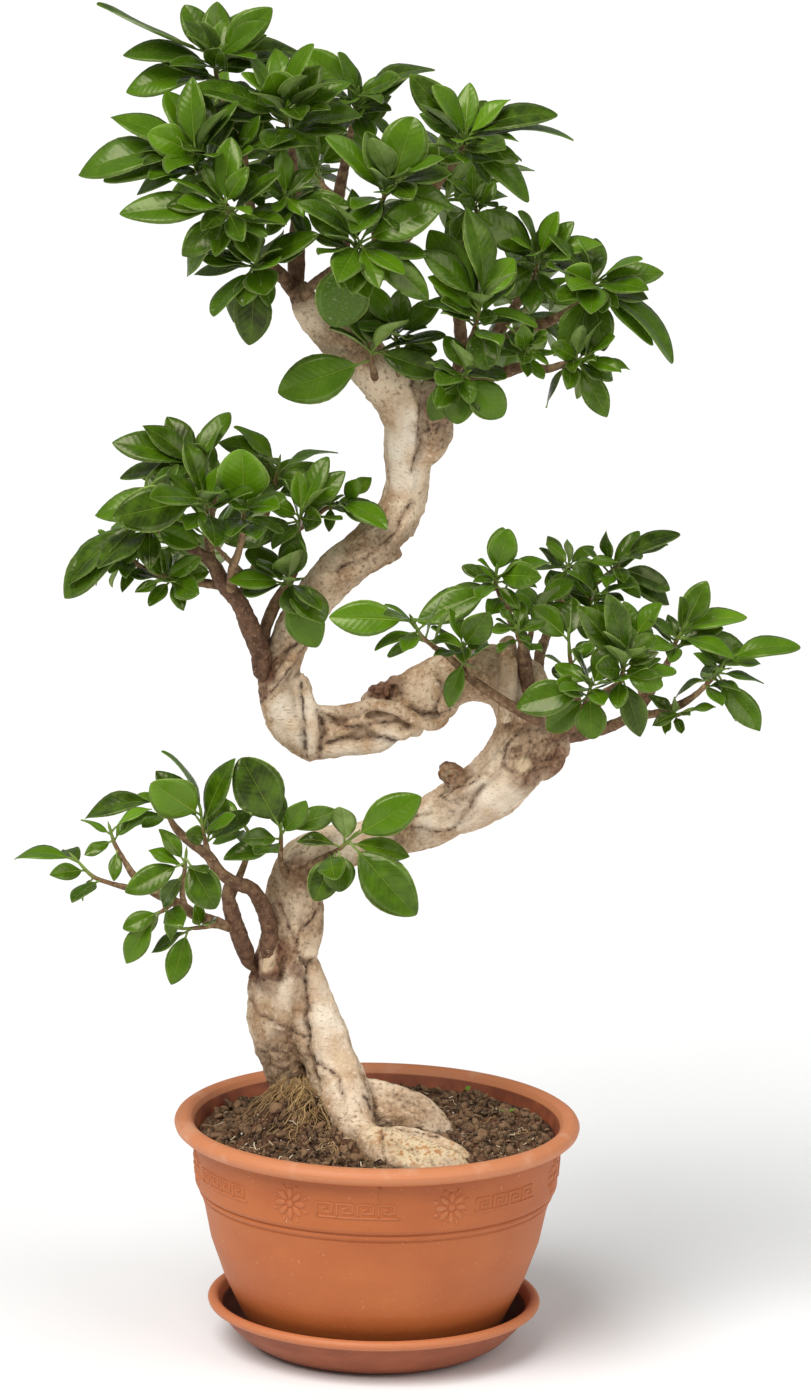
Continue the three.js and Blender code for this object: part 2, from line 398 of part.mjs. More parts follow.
const rightSprays = {
  rightFrontTip: {
    wood: [[39, 435, -26, 2.2], [29, 442, -27, 1.7]], tip: [16, 458, -30],
    leaves: [[46, 443, -0.5, 0.4, 0.7], [1, 435, 0.3, 0.5, 0.7], [-7, 439, -0.2, 0.2, 0.9],
      [24, 462, 0.4, 0.5, 0.35], [-35, 459, -0.1, 0.9, 1, 0.44]],
  },
  rightFrontMid: {
    wood: [[54, 421, -26, 2.2], [51, 427, -29, 1.6], [49, 432, -31, 1.4]], tip: [47, 442, -34],
    leaves: [[39, 404, -0.3, 0.8, 0.5], [62, 446, 0.4, 0.4, 0.5], [62, 464, -0.5, 1, 0.75, 0.55]],
  },
  rightRiseTip: {
    wood: [[71, 470, -9, 2], [68, 476, -11, 1.6]], tip: [66, 488, -14],
    leaves: [[19, 457, -0.3, 0.7, 1, 0.44], [30, 471, 0.2, 0.7, 0.9, 0.45], [81, 466, -0.5, 0.6, 0.5],
      [91, 480, -0.4, 0.4, 0.7], [52, 483, -0.5, 0.4, 0.5], [100, 489, 0.3, 0.4, 0.8],
      [93, 487, -0.6, 0.8, 0.8, 0.5], [73, 516, -0.1, 1, 0.7, 0.6]],
  },
  rightRiseMid: {
    wood: [[84, 437, -10, 2.6], [83, 443, -17, 1.7], [81, 447, -20, 1.4]], tip: [80, 455, -23],
    leaves: [[69, 452, -0.2, 0.6, 0.5, 0.5], [97, 459, 0.3, 0.7, 0.6], [82, 471, 0.4, 0.6, 0.6, 0.5]],
  },
  rightLowMid: {
    wood: [[119, 396, -10, 2.6], [121, 406, -19, 1.8], [123, 411, -22, 1.5]], tip: [125, 420, -26],
    leaves: [[99, 391, 0.3, 0.9, 0.8, 0.5], [127, 386, -0.2, 1, 0.65, 0.7],
      [80, 405, -0.1, 0.8, 0.9, 0.5], [103, 432, 0.4, 0.7, 0.7, 0.5]],
  },
  rightLowTip: {
    wood: [[142, 421, -20, 2], [143, 424, -22, 1.6]], tip: [146, 437, -25],
    leaves: [[156, 388, -0.1, 0.9, 0.65, 0.42], [169, 420, -0.2, 0.9, 0.6, 0.6],
      [160, 431, -0.5, 0.5, 0.5], [128, 431, -0.6, 0.9, 0.8, 0.5], [166, 441, -0.3, 0.6, 0.6],
      [116, 469, -0.3, 0.8, 0.9, 0.4], [131, 478, 0.1, 0.8, 0.95, 0.4], [163, 452, 0.4, 0.7, 0.7, 0.5]],
  },
  rightBackTip: {
    wood: [[108, 484, 34, 2], [108, 488, 30, 1.7]], tip: [110, 493, 16],
    leaves: [[97, 481, -0.5, 0.9, 0.6, 0.6], [123, 468, -0.6, 0.8, 0.9, 0.4],
      [128, 466, -0.2, 0.7, 1, 0.4], [132, 486, -0.6, 0.9, 0.7, 0.5], [129, 502, 0.2, 0.5, 0.7],
      [96, 508, 0.4, 0.4, 0.6]],
  },
  rightTopTip: {
    wood: [[104, 470, 32, 2.4], [118, 478, 26, 2], [130, 486, 19, 1.7], [135, 490, 16, 1.5]],
    tip: [142, 498, 12],
    leaves: [[154, 475, -0.4, 0.9, 0.8, 0.4], [172, 471, 0.3, 0.6, 0.9], [173, 481, 0.1, 0.7, 0.8],
      [155, 490, -0.3, 0.5, 0.4], [123, 497, -0.3, 0.7, 0.6], [177, 515, 0, 0.4, 0.95]],
  },
  rightFarTip: {
    wood: [[172, 436, 2, 2], [174, 442, 0, 1.7]], tip: [180, 455, -3],
    leaves: [[158, 459, 0.3, 0.1, 0.7], [186, 442, -0.5, 0.7, 0.4], [171, 465, 0.4, 0.4, 0.5],
      [212, 438, -0.5, 0.3, 0.9], [223, 437, 0.1, 0.7, 1.05, 0.45], [219, 464, 0.2, 0.4, 0.9],
      [194, 486, -0.1, 1, 0.8, 0.5]],
  },
  rightEndTip: {
    wood: [[190, 416, -4, 2], [195, 421, -5, 1.6]], tip: [206, 437, -6],
    leaves: [[178, 411, 0.4, 0.2, 0.6], [229, 393, -0.3, 0.8, 0.95, 0.42], [215, 399, 0.4, 0.6, 0.8],
      [187, 441, -0.4, 0.8, 0.6], [228, 435, 0.3, 0.3, 0.7], [252, 446, 0, 0.4, 0.95]],
  },
  rightHook: {
    wood: [[165, 403, 4, 2.6], [172, 402, 0, 1.8], [176, 402, -2, 1.5]], tip: [182, 404, -4],
    leaves: [[160, 414, 0.3, 0.5, 0.5], [163, 395, -0.3, 0.5, 0.5]],
  },
};

const crownSprays = {
  crownLeftTop: {
    wood: [[-103, 776, 3, 2.1], [-105, 781, 2, 1.7]], tip: [-108, 804, -2],
    leaves: [[-147, 787, 0.2, 0.3, 0.8], [-162, 779, -0.2, 0.45, 1.05], [-132, 757, -0.6, 1, 1, 0.5],
      [-86, 800, 0.3, 0.7, 0.6, 0.5], [-70, 796, 0.4, 0.3, 0.8], [-106, 806, -0.7, 0.9, 0.8, 0.5],
      [-164, 801, -0.1, 0.35, 1.05], [-56, 803, 0.4, 0.35, 0.95], [-103, 822, 0.4, 0.9, 0.6, 0.6],
      [-78, 815, 0.3, 0.6, 0.6], [-180, 832, 0.2, 0.05, 1.05], [-75, 831, -0.1, 0.9, 0.95, 0.45]],
  },
  crownLeftTip: {
    wood: [[-112, 726, -18, 2], [-114, 730, -19, 1.7]], tip: [-120, 742, -22],
    leaves: [[-155, 717, 0.2, 0.4, 0.8], [-150, 731, 0.3, 0.4, 0.8], [-121, 738, -0.7, 0.9, 0.6, 0.6],
      [-175, 725, -0.1, 0.45, 1.05], [-155, 742, -0.3, 0.3, 0.8], [-191, 733, 0, 0.4, 1.2],
      [-174, 755, 0.3, 0.5, 1], [-150, 754, -0.4, 0.9, 0.85, 0.6]],
  },
  crownLeftLow: {
    wood: [[-95, 702, -15, 3], [-97, 704, -23, 1.9], [-98, 705, -27, 1.6]], tip: [-102, 711, -33],
    leaves: [[-124, 667, 0.2, 0.5, 1], [-127, 680, -0.4, 0.9, 0.85, 0.48], [-76, 693, -0.4, 0.5, 0.8],
      [-165, 705, 0.1, 0.6, 1.1, 0.36], [-137, 708, -0.3, 0.5, 0.6], [-88, 735, -0.2, 0.8, 0.7]],
  },
  crownLeftHang: {
    wood: [[-77, 677, -11, 4], [-80, 676, -20, 2], [-81, 675, -24, 1.6]], tip: [-84, 673, -30],
    leaves: [[-96, 640, 0.3, 0.7, 0.75, 0.5], [-86, 626, -0.2, 1, 0.95, 0.5],
      [-76, 657, -0.8, 1, 0.6, 0.8], [-106, 692, -0.2, 0.5, 0.7], [-45, 695, -0.4, 0.5, 0.9]],
  },
  crownLeftMid: {
    wood: [[-88, 720, 2, 3], [-92, 727, -8, 2], [-94, 731, -13, 1.6]], tip: [-96, 742, -18],
    leaves: [[-70, 729, -0.4, 0.7, 0.8], [-101, 722, -0.3, 0.8, 0.6, 0.5], [-113, 764, 0.4, 0.5, 0.8],
      [-88, 752, -0.5, 0.5, 0.7], [-80, 765, 0.4, 0.6, 0.8], [-46, 749, -0.4, 0.35, 0.95]],
  },
  crownMidTop: {
    wood: [[-62, 745, -8, 2.2], [-63, 750, -10, 1.8]], tip: [-67, 772, -16],
    leaves: [[-28, 757, -0.4, 0.35, 0.8], [-20, 767, -0.2, 0.35, 0.95], [-77, 758, -0.5, 0.5, 0.4],
      [-118, 764, 0.1, 0.4, 1], [-125, 781, -0.2, 0.4, 1.15], [-27, 787, -0.1, 0.6, 0.95],
      [-44, 796, 0.2, 0.8, 0.8, 0.5], [-76, 791, -0.7, 1, 0.65, 0.8]],
  },
  crownMidLow: {
    wood: [[-58, 705, 0, 3.4], [-61, 709, -11, 2], [-63, 711, -17, 1.6]], tip: [-66, 718, -24],
    leaves: [[-88, 702, -0.3, 0.8, 0.7, 0.45], [-82, 727, -0.4, 0.6, 0.7],
      [-26, 712, -0.3, 0.9, 0.9, 0.42], [-47, 735, 0.2, 0.7, 0.7], [-54, 705, -0.7, 0.6, 0.5]],
  },
  crownTop: {
    wood: [[-27, 756, 12, 2.2], [-26, 761, 9, 1.8]], tip: [-23, 780, 0],
    leaves: [[-5, 775, -0.4, 0.9, 0.75, 0.55], [-2, 754, 0.2, 0.3, 0.8], [-47, 772, 0.4, 0.5, 0.8],
      [10, 790, 0.1, 0.5, 0.85], [24, 792, 0.3, 0.3, 1], [-57, 806, -0.1, 0.9, 0.9, 0.48]],
  },
  crownRootTip: {
    wood: [[37, 742, -6, 2.1], [39, 746, -7, 1.7]], tip: [42, 755, -9],
    leaves: [[61, 741, 0.4, 0.2, 0.6], [81, 717, -0.1, 0.45, 1], [57, 727, 0.3, 0.6, 0.5],
      [71, 731, 0.4, 0.1, 0.8], [0, 728, -0.3, 0.9, 0.95, 0.5], [73, 737, -0.1, 0.5, 0.75],
      [14, 769, 0.4, 0.6, 0.7], [107, 755, 0.1, 0.1, 1.2], [8, 793, -0.2, 0.8, 1, 0.4],
      [97, 770, 0, 0.4, 1.1]],
  },
  crownNearTip: {
    wood: [[-9, 710, -20, 2], [-8, 713, -22, 1.6]], tip: [-1, 727, -28],
    leaves: [[-17, 700, -0.6, 0.8, 0.5, 0.6], [-30, 752, 0.2, 0.6, 0.85], [-42, 754, -0.3, 0.5, 0.95],
      [36, 712, -0.1, 0.7, 0.85, 0.42], [11, 767, 0.1, 1, 0.8, 0.7]],
  },
  crownFrontTip: {
    wood: [[-31, 678, -40, 2], [-28, 681, -43, 1.7]], tip: [-20, 690, -48],
    leaves: [[-34, 638, -0.6, 1, 0.75, 0.72], [-50, 693, -0.2, 0.5, 0.5],
      [-52, 713, 0.4, 0.9, 0.8, 0.42], [0, 668, -0.5, 0.9, 0.65, 0.5], [-58, 716, -0.4, 0.3, 0.9],
      [22, 656, -0.3, 0.7, 1, 0.4], [29, 713, -0.2, 0.8, 0.95, 0.44]],
  },
  neckTwig: {
    wood: [[-9, 606, -12, 3], [-11, 613, -19, 1.9], [-12, 617, -21, 1.5]], tip: [-12, 624, -23],
    leaves: [[-68, 597, -0.1, 1, 1, 0.5], [31, 611, -0.4, 0.9, 0.8, 0.42]],
  },
  neckTwigHigh: {
    wood: [[3, 600, -10, 3.4], [4, 613, -12, 1.9], [4, 620, -12, 1.6]], tip: [0, 638, -16],
    leaves: [[25, 626, -0.5, 0.9, 0.6, 0.6], [-20, 645, -0.4, 0.8, 0.45, 0.7],
      [31, 656, 0, 0.8, 0.75, 0.4], [-13, 664, 0.3, 0.9, 0.55, 0.5]],
  },
  lobeFrontTip: {
    wood: [[49, 635, -20, 2], [50, 639, -21, 1.7]], tip: [53, 654, -24],
    leaves: [[59, 614, -0.7, 0.9, 0.6, 0.7], [63, 647, -0.5, 0.8, 0.6, 0.5], [19, 653, -0.3, 0.4, 0.8],
      [88, 641, -0.2, 0.2, 0.8], [21, 670, -0.4, 0.7, 0.85, 0.4], [22, 699, 0.2, 0.9, 1.1, 0.45],
      [44, 713, 0.3, 0.1, 1.1], [17, 686, -0.4, 0.5, 0.9]],
  },
  lobeHang: {
    wood: [[32, 607, 0, 4.4], [37, 608, -10, 2], [40, 609, -15, 1.6]], tip: [46, 612, -22],
    leaves: [[24, 582, 0.3, 0.9, 0.6, 0.5], [40, 580, -0.3, 1, 0.6, 0.72],
      [68, 585, -0.3, 1, 0.6, 0.65], [32, 634, 0.4, 0.7, 0.6, 0.5]],
  },
  lobeLowTip: {
    wood: [[104, 618, -9, 2], [107, 619, -10, 1.7]], tip: [118, 622, -12],
    leaves: [[113, 597, 0.3, 0.15, 0.7], [94, 592, 0.2, 0.2, 0.7], [131, 586, -0.2, 0.9, 0.8, 0.42],
      [96, 629, -0.5, 0.7, 0.5, 0.6], [134, 609, 0.4, 0.7, 0.6, 0.5], [139, 614, -0.4, 0.6, 0.7],
      [128, 640, 0.4, 0.7, 0.7]],
  },
  lobeLowMid: {
    wood: [[80, 616, -6, 3], [80, 620, -14, 1.8], [80, 622, -18, 1.5]], tip: [82, 630, -23],
    leaves: [[68, 632, 0.4, 0.7, 0.6, 0.5], [78, 642, -0.6, 0.9, 0.6, 0.42], [95, 618, -0.5, 0.5, 0.4],
      [90, 640, 0.3, 0.9, 0.6, 0.5]],
  },
  lobeRightTip: {
    wood: [[116, 658, -4, 2], [118, 661, -5, 1.7]], tip: [121, 669, -8],
    leaves: [[104, 623, -0.5, 1, 0.85, 0.5], [128, 626, -0.4, 0.9, 0.8, 0.5],
      [170, 620, 0.3, 0.25, 1.05], [158, 631, -0.2, 0.6, 0.95, 0.4], [136, 653, -0.5, 0.5, 0.6],
      [104, 676, -0.6, 1, 0.6, 0.7], [163, 675, 0, 0.6, 0.85, 0.4]],
  },
  lobeMidTip: {
    wood: [[84, 668, 4, 2.2], [85, 672, 2, 1.8]], tip: [88, 684, -4],
    leaves: [[99, 656, -0.5, 0.5, 0.7], [95, 650, 0.3, 0.2, 0.8], [60, 660, -0.5, 0.9, 0.85, 0.55],
      [113, 680, 0.4, 0.4, 0.7], [57, 698, 0.2, 0.6, 0.75, 0.4], [126, 692, 0, 0.5, 0.85, 0.4],
      [50, 709, -0.2, 0.8, 0.95, 0.52]],
  },
  lobeHighTip: {
    wood: [[50, 700, 16, 2], [50, 704, 15, 1.7]], tip: [47, 716, 11],
    leaves: [[62, 708, -0.3, 0.3, 0.7], [38, 718, -0.6, 0.8, 0.6, 0.5], [38, 690, -0.4, 0.8, 0.6, 0.5]],
  },
};

// Shoots on the far side of the tree, whose leaves are set by a spiral rule
const backSprays = {
  crownBackLeft: {
    wood: [[-88, 720, 2, 3], [-91, 722, 8, 2.4], [-96, 727, 14, 2], [-100, 731, 18, 1.6]],
    tip: [-108, 744, 29], count: 8,
  },
  crownBackMid: {
    wood: [[-34, 712, 18, 3.4], [-36, 716, 22, 2.6], [-41, 722, 27, 2], [-44, 726, 31, 1.6]],
    tip: [-50, 740, 42], count: 8,
  },
  crownBackRight: {
    wood: [[10, 698, -2, 3.4], [15, 702, 6, 2.6], [22, 708, 13, 2], [26, 712, 17, 1.6]],
    tip: [34, 726, 28], count: 8,
  },
  lobeBack: {
    wood: [[66, 640, 8, 3.4], [68, 643, 12, 2.6], [72, 646, 16, 2], [75, 648, 19, 1.6]],
    tip: [84, 657, 30], count: 8,
  },
  midBackTip: {
    wood: [[-84, 480, 4, 2.8], [-89, 486, 9, 2.3], [-96, 493, 15, 1.9], [-100, 497, 18, 1.6]],
    tip: [-110, 510, 30], count: 8,
  },
};

const allSprays = { ...sprays, ...rightSprays, ...crownSprays, ...backSprays };

// Away from the trunk the branches fan out in depth: this widens the depths given in the tables
const depthFan = 1.3;
const [fanStart, fanEnd] = [8, 45];
const trunkLine = Object.values(trunkLimbs).flat();

function fanned(row) {
  const [x, z, y, ...rest] = row;
  const away = Math.min(...trunkLine.map((station) => Math.hypot(station[0] - x, station[1] - z)));
  const widened = 1 + depthFan * THREE.MathUtils.smoothstep(away, fanStart, fanEnd);
  return [x, z, y * widened, ...rest];
}

for (const [name, stations] of Object.entries(branches)) branches[name] = stations.map(fanned);
for (const spray of Object.values(allSprays)) {
  spray.wood = spray.wood.map(fanned);
  spray.tip = fanned(spray.tip);
}

// A small seeded generator, so that every build draws the same tree
function seeded(seed) {
  let state = seed >>> 0;
  return () => {
    state = (state + 0x6d2b79f5) >>> 0;
    let t = state;
    t = Math.imul(t ^ (t >>> 15), t | 1);
    t ^= t + Math.imul(t ^ (t >>> 7), t | 61);
    return ((t ^ (t >>> 14)) >>> 0) / 4294967296;
  };
}

// The green stem: from just past the twig's end, bending toward its tip
function stemPoints(spray) {
  const wood = spray.wood.map((row) => at(row));
  const end = wood[wood.length - 1];
  const along = end.clone().sub(wood[wood.length - 2]).normalize();
  const tip = at(spray.tip);
  const foot = end.clone().addScaledVector(along, seatGap + 0.1);
  const reach = foot.distanceTo(tip);
  const bend = foot.clone().addScaledVector(along, reach * 0.4);
  return [foot, bend.lerp(tip, 0.2), tip];
}

const stemTaper = [1, 0.9, 0.6];

// A leaf is a foot on the stem, an axis, an upper face, and its size
const up = new THREE.Vector3(0, 0, 1);

function faceAngle(axis, toViewer, face) {
  const flat = up.clone().addScaledVector(axis, -up.dot(axis));
  const shown = toViewer.clone().addScaledVector(axis, -toViewer.dot(axis)).normalize();
  if (flat.length() < 0.15) return shown;
  flat.normalize();
  const angle = Math.atan2(flat.clone().cross(shown).dot(axis), flat.dot(shown));
  return flat.applyAxisAngle(axis, angle * face);
}

function drawnLeaf(foot, [x, z, lean, face, size = 1, width = leafWidth], random) {
  const level = at([x, z, foot.y]);
  const apart = foot.distanceTo(level);
  const full = leafLength * size;
  const depth = foot.y + lean * Math.sqrt(Math.max(full * full - apart * apart, 0));
  const span = at([x, z, depth]).sub(foot);
  const length = span.length();
  const axis = span.normalize();
  const normal = faceAngle(axis, eye.clone().sub(foot).normalize(), face);
  const arch = (face < 0.5 ? 0.1 : 0.05) + 0.03 * random();
  return { foot, axis, normal, length, half: (length * width) / 2, arch };
}

const goldenAngle = 137.5 * (Math.PI / 180);

function ruledLeaf(foot, along, index, share, random) {
  const side = new THREE.Vector3(0, 0, 1).cross(along).normalize();
  const rise = along.clone().cross(side).normalize();
  const turn = index * goldenAngle;
  const out = side.multiplyScalar(Math.cos(turn)).addScaledVector(rise, Math.sin(turn));
  const axis = out.addScaledVector(along, 0.25 + 0.9 * share).addScaledVector(up, 0.1).normalize();
  const flat = up.clone().addScaledVector(axis, -up.dot(axis)).normalize();
  const normal = flat.lerp(along.clone().addScaledVector(axis, -along.dot(axis)).normalize(), 0.35);
  normal.addScaledVector(axis, -normal.dot(axis)).normalize();
  const length = leafLength * (0.8 + 0.22 * random());
  return { foot, axis, normal, length, half: (length * leafWidth) / 2, arch: 0.05 + 0.06 * random() };
}

// Half the blade's width at a share of the leaf's length: a petiole, then a blunt oval
const petiole = 0.15;
function outline(share) {
  const s = (share - petiole) / (1 - petiole);
  if (s <= 0 || s >= 1) return 0;
  return Math.pow(Math.sin(Math.PI * Math.pow(s, 0.92)), 0.75);
}

function leafPoint(leaf, share, across, lift = 0) {
  const side = leaf.axis.clone().cross(leaf.normal);
  const bow = leaf.arch * leaf.length * 4 * share * (1 - share);
  return leaf.foot.clone()
    .addScaledVector(leaf.axis, share * leaf.length)
    .addScaledVector(side, across)
    .addScaledVector(leaf.normal, bow + lift);
}

// Each leaf is tried as drawn, then turned a little further each time, until it is clear
const clearance = 1.2;
const rows = [0.2, 0.32, 0.45, 0.58, 0.72, 0.86, 1];
const lines = [-1, 0, 1];

function localPlace(leaf, point) {
  const d = point.clone().sub(leaf.foot);
  const share = d.dot(leaf.axis) / leaf.length;
  const side = leaf.axis.clone().cross(leaf.normal);
  const bow = leaf.arch * leaf.length * 4 * share * (1 - share);
  return [share, d.dot(side), d.dot(leaf.normal) - bow];
}

function crossesBlade(leaf, a, b, radius) {
  const p = localPlace(leaf, a);
  const q = localPlace(leaf, b);
  const gap = clearance + radius;
  let t = 0.5;
  if (p[2] * q[2] < 0) t = p[2] / (p[2] - q[2]);
  else if (Math.abs(p[2]) < gap || Math.abs(q[2]) < gap) t = Math.abs(p[2]) < Math.abs(q[2]) ? 0 : 1;
  else return false;
  const share = p[0] + t * (q[0] - p[0]);
  const across = p[1] + t * (q[1] - p[1]);
  return share > petiole && share < 1.02 && Math.abs(across) < leaf.half * outline(share) + radius + 0.4;
}

function edgeLines(leaf) {
  return lines.map((line) => rows.map((share) => (
    leafPoint(leaf, share, line * leaf.half * outline(share)))));
}

function near(a, b) {
  return a.middle.distanceTo(b.middle) < a.reach + b.reach;
}

function withEdges(leaf) {
  const middle = leafPoint(leaf, 0.58, 0);
  return { ...leaf, edges: edgeLines(leaf), middle, reach: leaf.length * 0.55 };
}

function clashes(leaf, others, sticks) {
  let count = 0;
  for (const other of others) {
    if (near(leaf, other)) {
      for (const [one, two] of [[leaf, other], [other, leaf]]) {
        for (const line of one.edges) {
          for (let i = 1; i < line.length; i += 1) {
            if (crossesBlade(two, line[i - 1], line[i], 0)) count += 1;
          }
        }
      }
    }
  }
  for (const stick of sticks) {
    if (near(leaf, stick) && crossesBlade(leaf, stick.a, stick.b, stick.radius)) count += 2;
  }
  return count;
}

const turns = [[0, 0, 0]];
for (const step of [8, 16, 25, 35]) {
  for (const [roll, pitch, swing] of [
    [1, 0, 0], [-1, 0, 0], [0, 1, 0], [0, -1, 0], [0, 0, 1], [0, 0, -1],
    [1, 1, 0], [-1, 1, 0], [0, 1, 1], [0, 1, -1], [0, -1, 1], [0, -1, -1],
  ]) {
    turns.push([roll * step, pitch * step * 0.7, swing * step * 0.7]);
  }
}

function turnedLeaf(leaf, [roll, pitch, swing]) {
  const rad = Math.PI / 180;
  const axis = leaf.axis.clone();
  const normal = leaf.normal.clone().applyAxisAngle(axis, roll * rad);
  axis.applyAxisAngle(normal, swing * rad);
  const side = axis.clone().cross(normal).normalize();
  axis.applyAxisAngle(side, pitch * rad);
  normal.applyAxisAngle(side, pitch * rad);
  return { ...leaf, axis, normal };
}

// Sticks are the straight stretches of wood and stem that a blade must keep clear of
function sticksAlong(points, radii, owner) {
  const list = [];
  for (let i = 1; i < points.length; i += 1) {
    const [a, b] = [points[i - 1], points[i]];
    list.push({
      a, b, owner, radius: Math.max(radii[i - 1], radii[i]),
      middle: a.clone().lerp(b, 0.5), reach: a.distanceTo(b) / 2 + radii[i],
    });
  }
  return list;
}

function limbSticks(stations) {
  return sticksAlong(stations.map((row) => at(row)), stations.map((row) => row[3]), 'wood');
}

// A branch and the twig that goes on from its end are one limb; other twigs start inside the wood
function branchLimbs() {
  const limbs = Object.values(branches).map((stations) => [...stations]);
  const twigs = [];
  for (const { wood } of Object.values(allSprays)) {
    const limb = limbs.find((stations) => {
      const [x, z, y] = stations[stations.length - 1];
      return x === wood[0][0] && z === wood[0][1] && y === wood[0][2];
    });
    if (limb) limb.push(...wood.slice(1));
    else twigs.push(wood);
  }
  return { limbs, twigs };
}

const { limbs: branchRows, twigs: twigRows } = branchLimbs();
const woodLimbs = [
  ...Object.values(trunkLimbs), ...Object.values(roots), ...Object.values(strands),
  ...branchRows, ...twigRows,
];

function placeLeaves() {
  const sticks = woodLimbs.flatMap(limbSticks);
  for (const [name, spray] of Object.entries(allSprays)) {
    spray.stem = stemPoints(spray);
    sticks.push(...sticksAlong(spray.stem, stemTaper.map((share) => share * stemRadius), name));
  }
  const placed = [];
  let seed = 1;
  for (const [name, spray] of Object.entries(allSprays)) {
    const random = seeded(seed);
    seed += 1;
    const curve = new THREE.CatmullRomCurve3(spray.stem, false, 'centripetal');
    const count = spray.count ?? spray.leaves.length;
    const others = sticks.filter((stick) => stick.owner !== name);
    for (let i = 0; i < count; i += 1) {
      const share = count > 1 ? i / (count - 1) : 1;
      const t = 0.22 + 0.75 * share;
      const foot = curve.getPoint(t);
      const drawn = spray.leaves
        ? drawnLeaf(foot, spray.leaves[i], random)
        : ruledLeaf(foot, curve.getTangent(t), i, share, random);
      let best = null;
      for (const turn of turns) {
        const leaf = withEdges(turnedLeaf(drawn, turn));
        leaf.score = clashes(leaf, placed, others);
        if (best === null || leaf.score < best.score) best = leaf;
        if (best.score === 0) break;
      }
      best.spray = name;
      placed.push(best);
    }
  }
  return placed;
}

// A blade with a keel under its midrib: a point in the stem, two rings of three, and the tip.
// A ring is [share of the length, share of the width, share of the thickness].
const bladeRings = [[0.4, 0.93, 1], [0.76, 0.88, 0.8]];
const petioleHalf = 0.6;
const bladeTop = 0.3;

function leafSolid(leaf, slim = 1) {
  const points = [leafPoint(leaf, 0, 0)];
  for (const [share, wide, thick] of bladeRings) {
    const half = petioleHalf + wide * leaf.half * slim;
    points.push(
      leafPoint(leaf, share, -half, bladeTop),
      leafPoint(leaf, share, 0, bladeTop - leafThickness * thick),
      leafPoint(leaf, share, half, bladeTop),
    );
  }
  points.push(leafPoint(leaf, 1, 0));
  const last = points.length - 1;
  const index = [];
  for (let k = 0; k < 3; k += 1) {
    const next = (k + 1) % 3;
    index.push(0, 1 + k, 1 + next);
    for (let ring = 0; ring < bladeRings.length - 1; ring += 1) {
      const [low, high] = [1 + 3 * ring, 4 + 3 * ring];
      index.push(low + k, high + next, low + next, low + k, high + k, high + next);
    }
    index.push(last - 3 + k, last, last - 3 + next);
  }
  const geometry = new THREE.BufferGeometry().setFromPoints(points);
  geometry.setIndex(index);
  return toSolid(geometry);
}

// Assembly
function overlap(a, b) {
  const [one, two] = [a.box, b.box];
  for (let k = 0; k < 3; k += 1) {
    if (one.min[k] > two.max[k] || two.min[k] > one.max[k]) return false;
  }
  const common = a.solid.intersect(b.solid);
  const volume = common.volume();
  common.delete();
  return volume > 0.001;
}

function boxed(solid) {
  return { solid, box: solid.boundingBox() };
}

function woodSolid() {
  const parts = [
    ...Object.values(trunkLimbs).map((limb) => limbGeometry(limb, trunkSides)),
    ...Object.values(roots).map((limb) => limbGeometry(limb, rootSides)),
    ...Object.values(strands).map((limb) => limbGeometry(limb, rootSides)),
    ...branchRows.map((limb) => limbGeometry(limb, branchSides)),
    ...twigRows.map((limb) => limbGeometry(limb, twigSides)),
  ];
  return mainBody(join(parts.map(toSolid)));
}

const wood = woodSolid();
const leaves = placeLeaves();
const taken = [boxed(wood)];
const shootSolids = {};
for (const [name, spray] of Object.entries(allSprays)) {
  const stem = toSolid(bentTube(spray.stem, stemTaper.map((share) => share * stemRadius), 3));
  const parts = [stem];
  for (const leaf of leaves.filter((one) => one.spray === name)) {
    let solid = null;
    for (const slim of [1, 0.75, 0.5]) {
      const candidate = boxed(leafSolid(leaf, slim));
      if (!taken.some((other) => overlap(candidate, other))) {
        solid = candidate.solid;
        break;
      }
    }
    if (solid) parts.push(solid);
  }
  const shoot = boxed(mainBody(join(parts)));
  taken.push(shoot);
  shootSolids[name] = shoot.solid;
}

const legFeet = [trunkLimbs.leftLeg.slice(0, 5), trunkLimbs.rightLeg.slice(0, 5)];
const pieces = {
  saucer: saucerSolid(),
  pot: potSolid(),
  soil: soilSolid(legFeet, Object.values(roots)),
  trunk: wood,
  ...shootSolids,
};

const finishes = {
  saucer: { color: 0xb8623a, roughness: 0.6 },
  pot: { color: 0xc9764a, roughness: 0.65 },
  soil: { color: 0x2e2119, roughness: 0.95 },
  trunk: { color: 0xb79b78, roughness: 0.85 },
  leaf: { color: 0x2f6b1c, roughness: 0.35 },
};

const bonsai = new THREE.Group();
for (const [name, solid] of Object.entries(pieces)) {
  const finish = finishes[name] ?? finishes.leaf;
  const mesh = new THREE.Mesh(toGeometry(solid), new THREE.MeshStandardMaterial(finish));
  mesh.name = name;
  bonsai.add(mesh);
}

export default bonsai;
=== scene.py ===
# %% [markdown]
# # A potted bonsai fig
#
# The object is a fig tree in miniature: a trunk of fused roots bent into an S, leafy pads on short
# branches, a bowl of moulded plastic in a terracotta colour, and the deep saucer it stands in.
# A ready-made solid model, the frame, already holds every size and place. It could simply be
# painted, but its leaves are thick wedges and its trunk has flat sides. So each piece is modelled
# again here, finer, in the very place of the solid that it stands for, and then gets its finish.

# %% The tools and the frame
import json
import math

import bpy
import numpy as np
from mathutils import Matrix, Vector
from mathutils.kdtree import KDTree

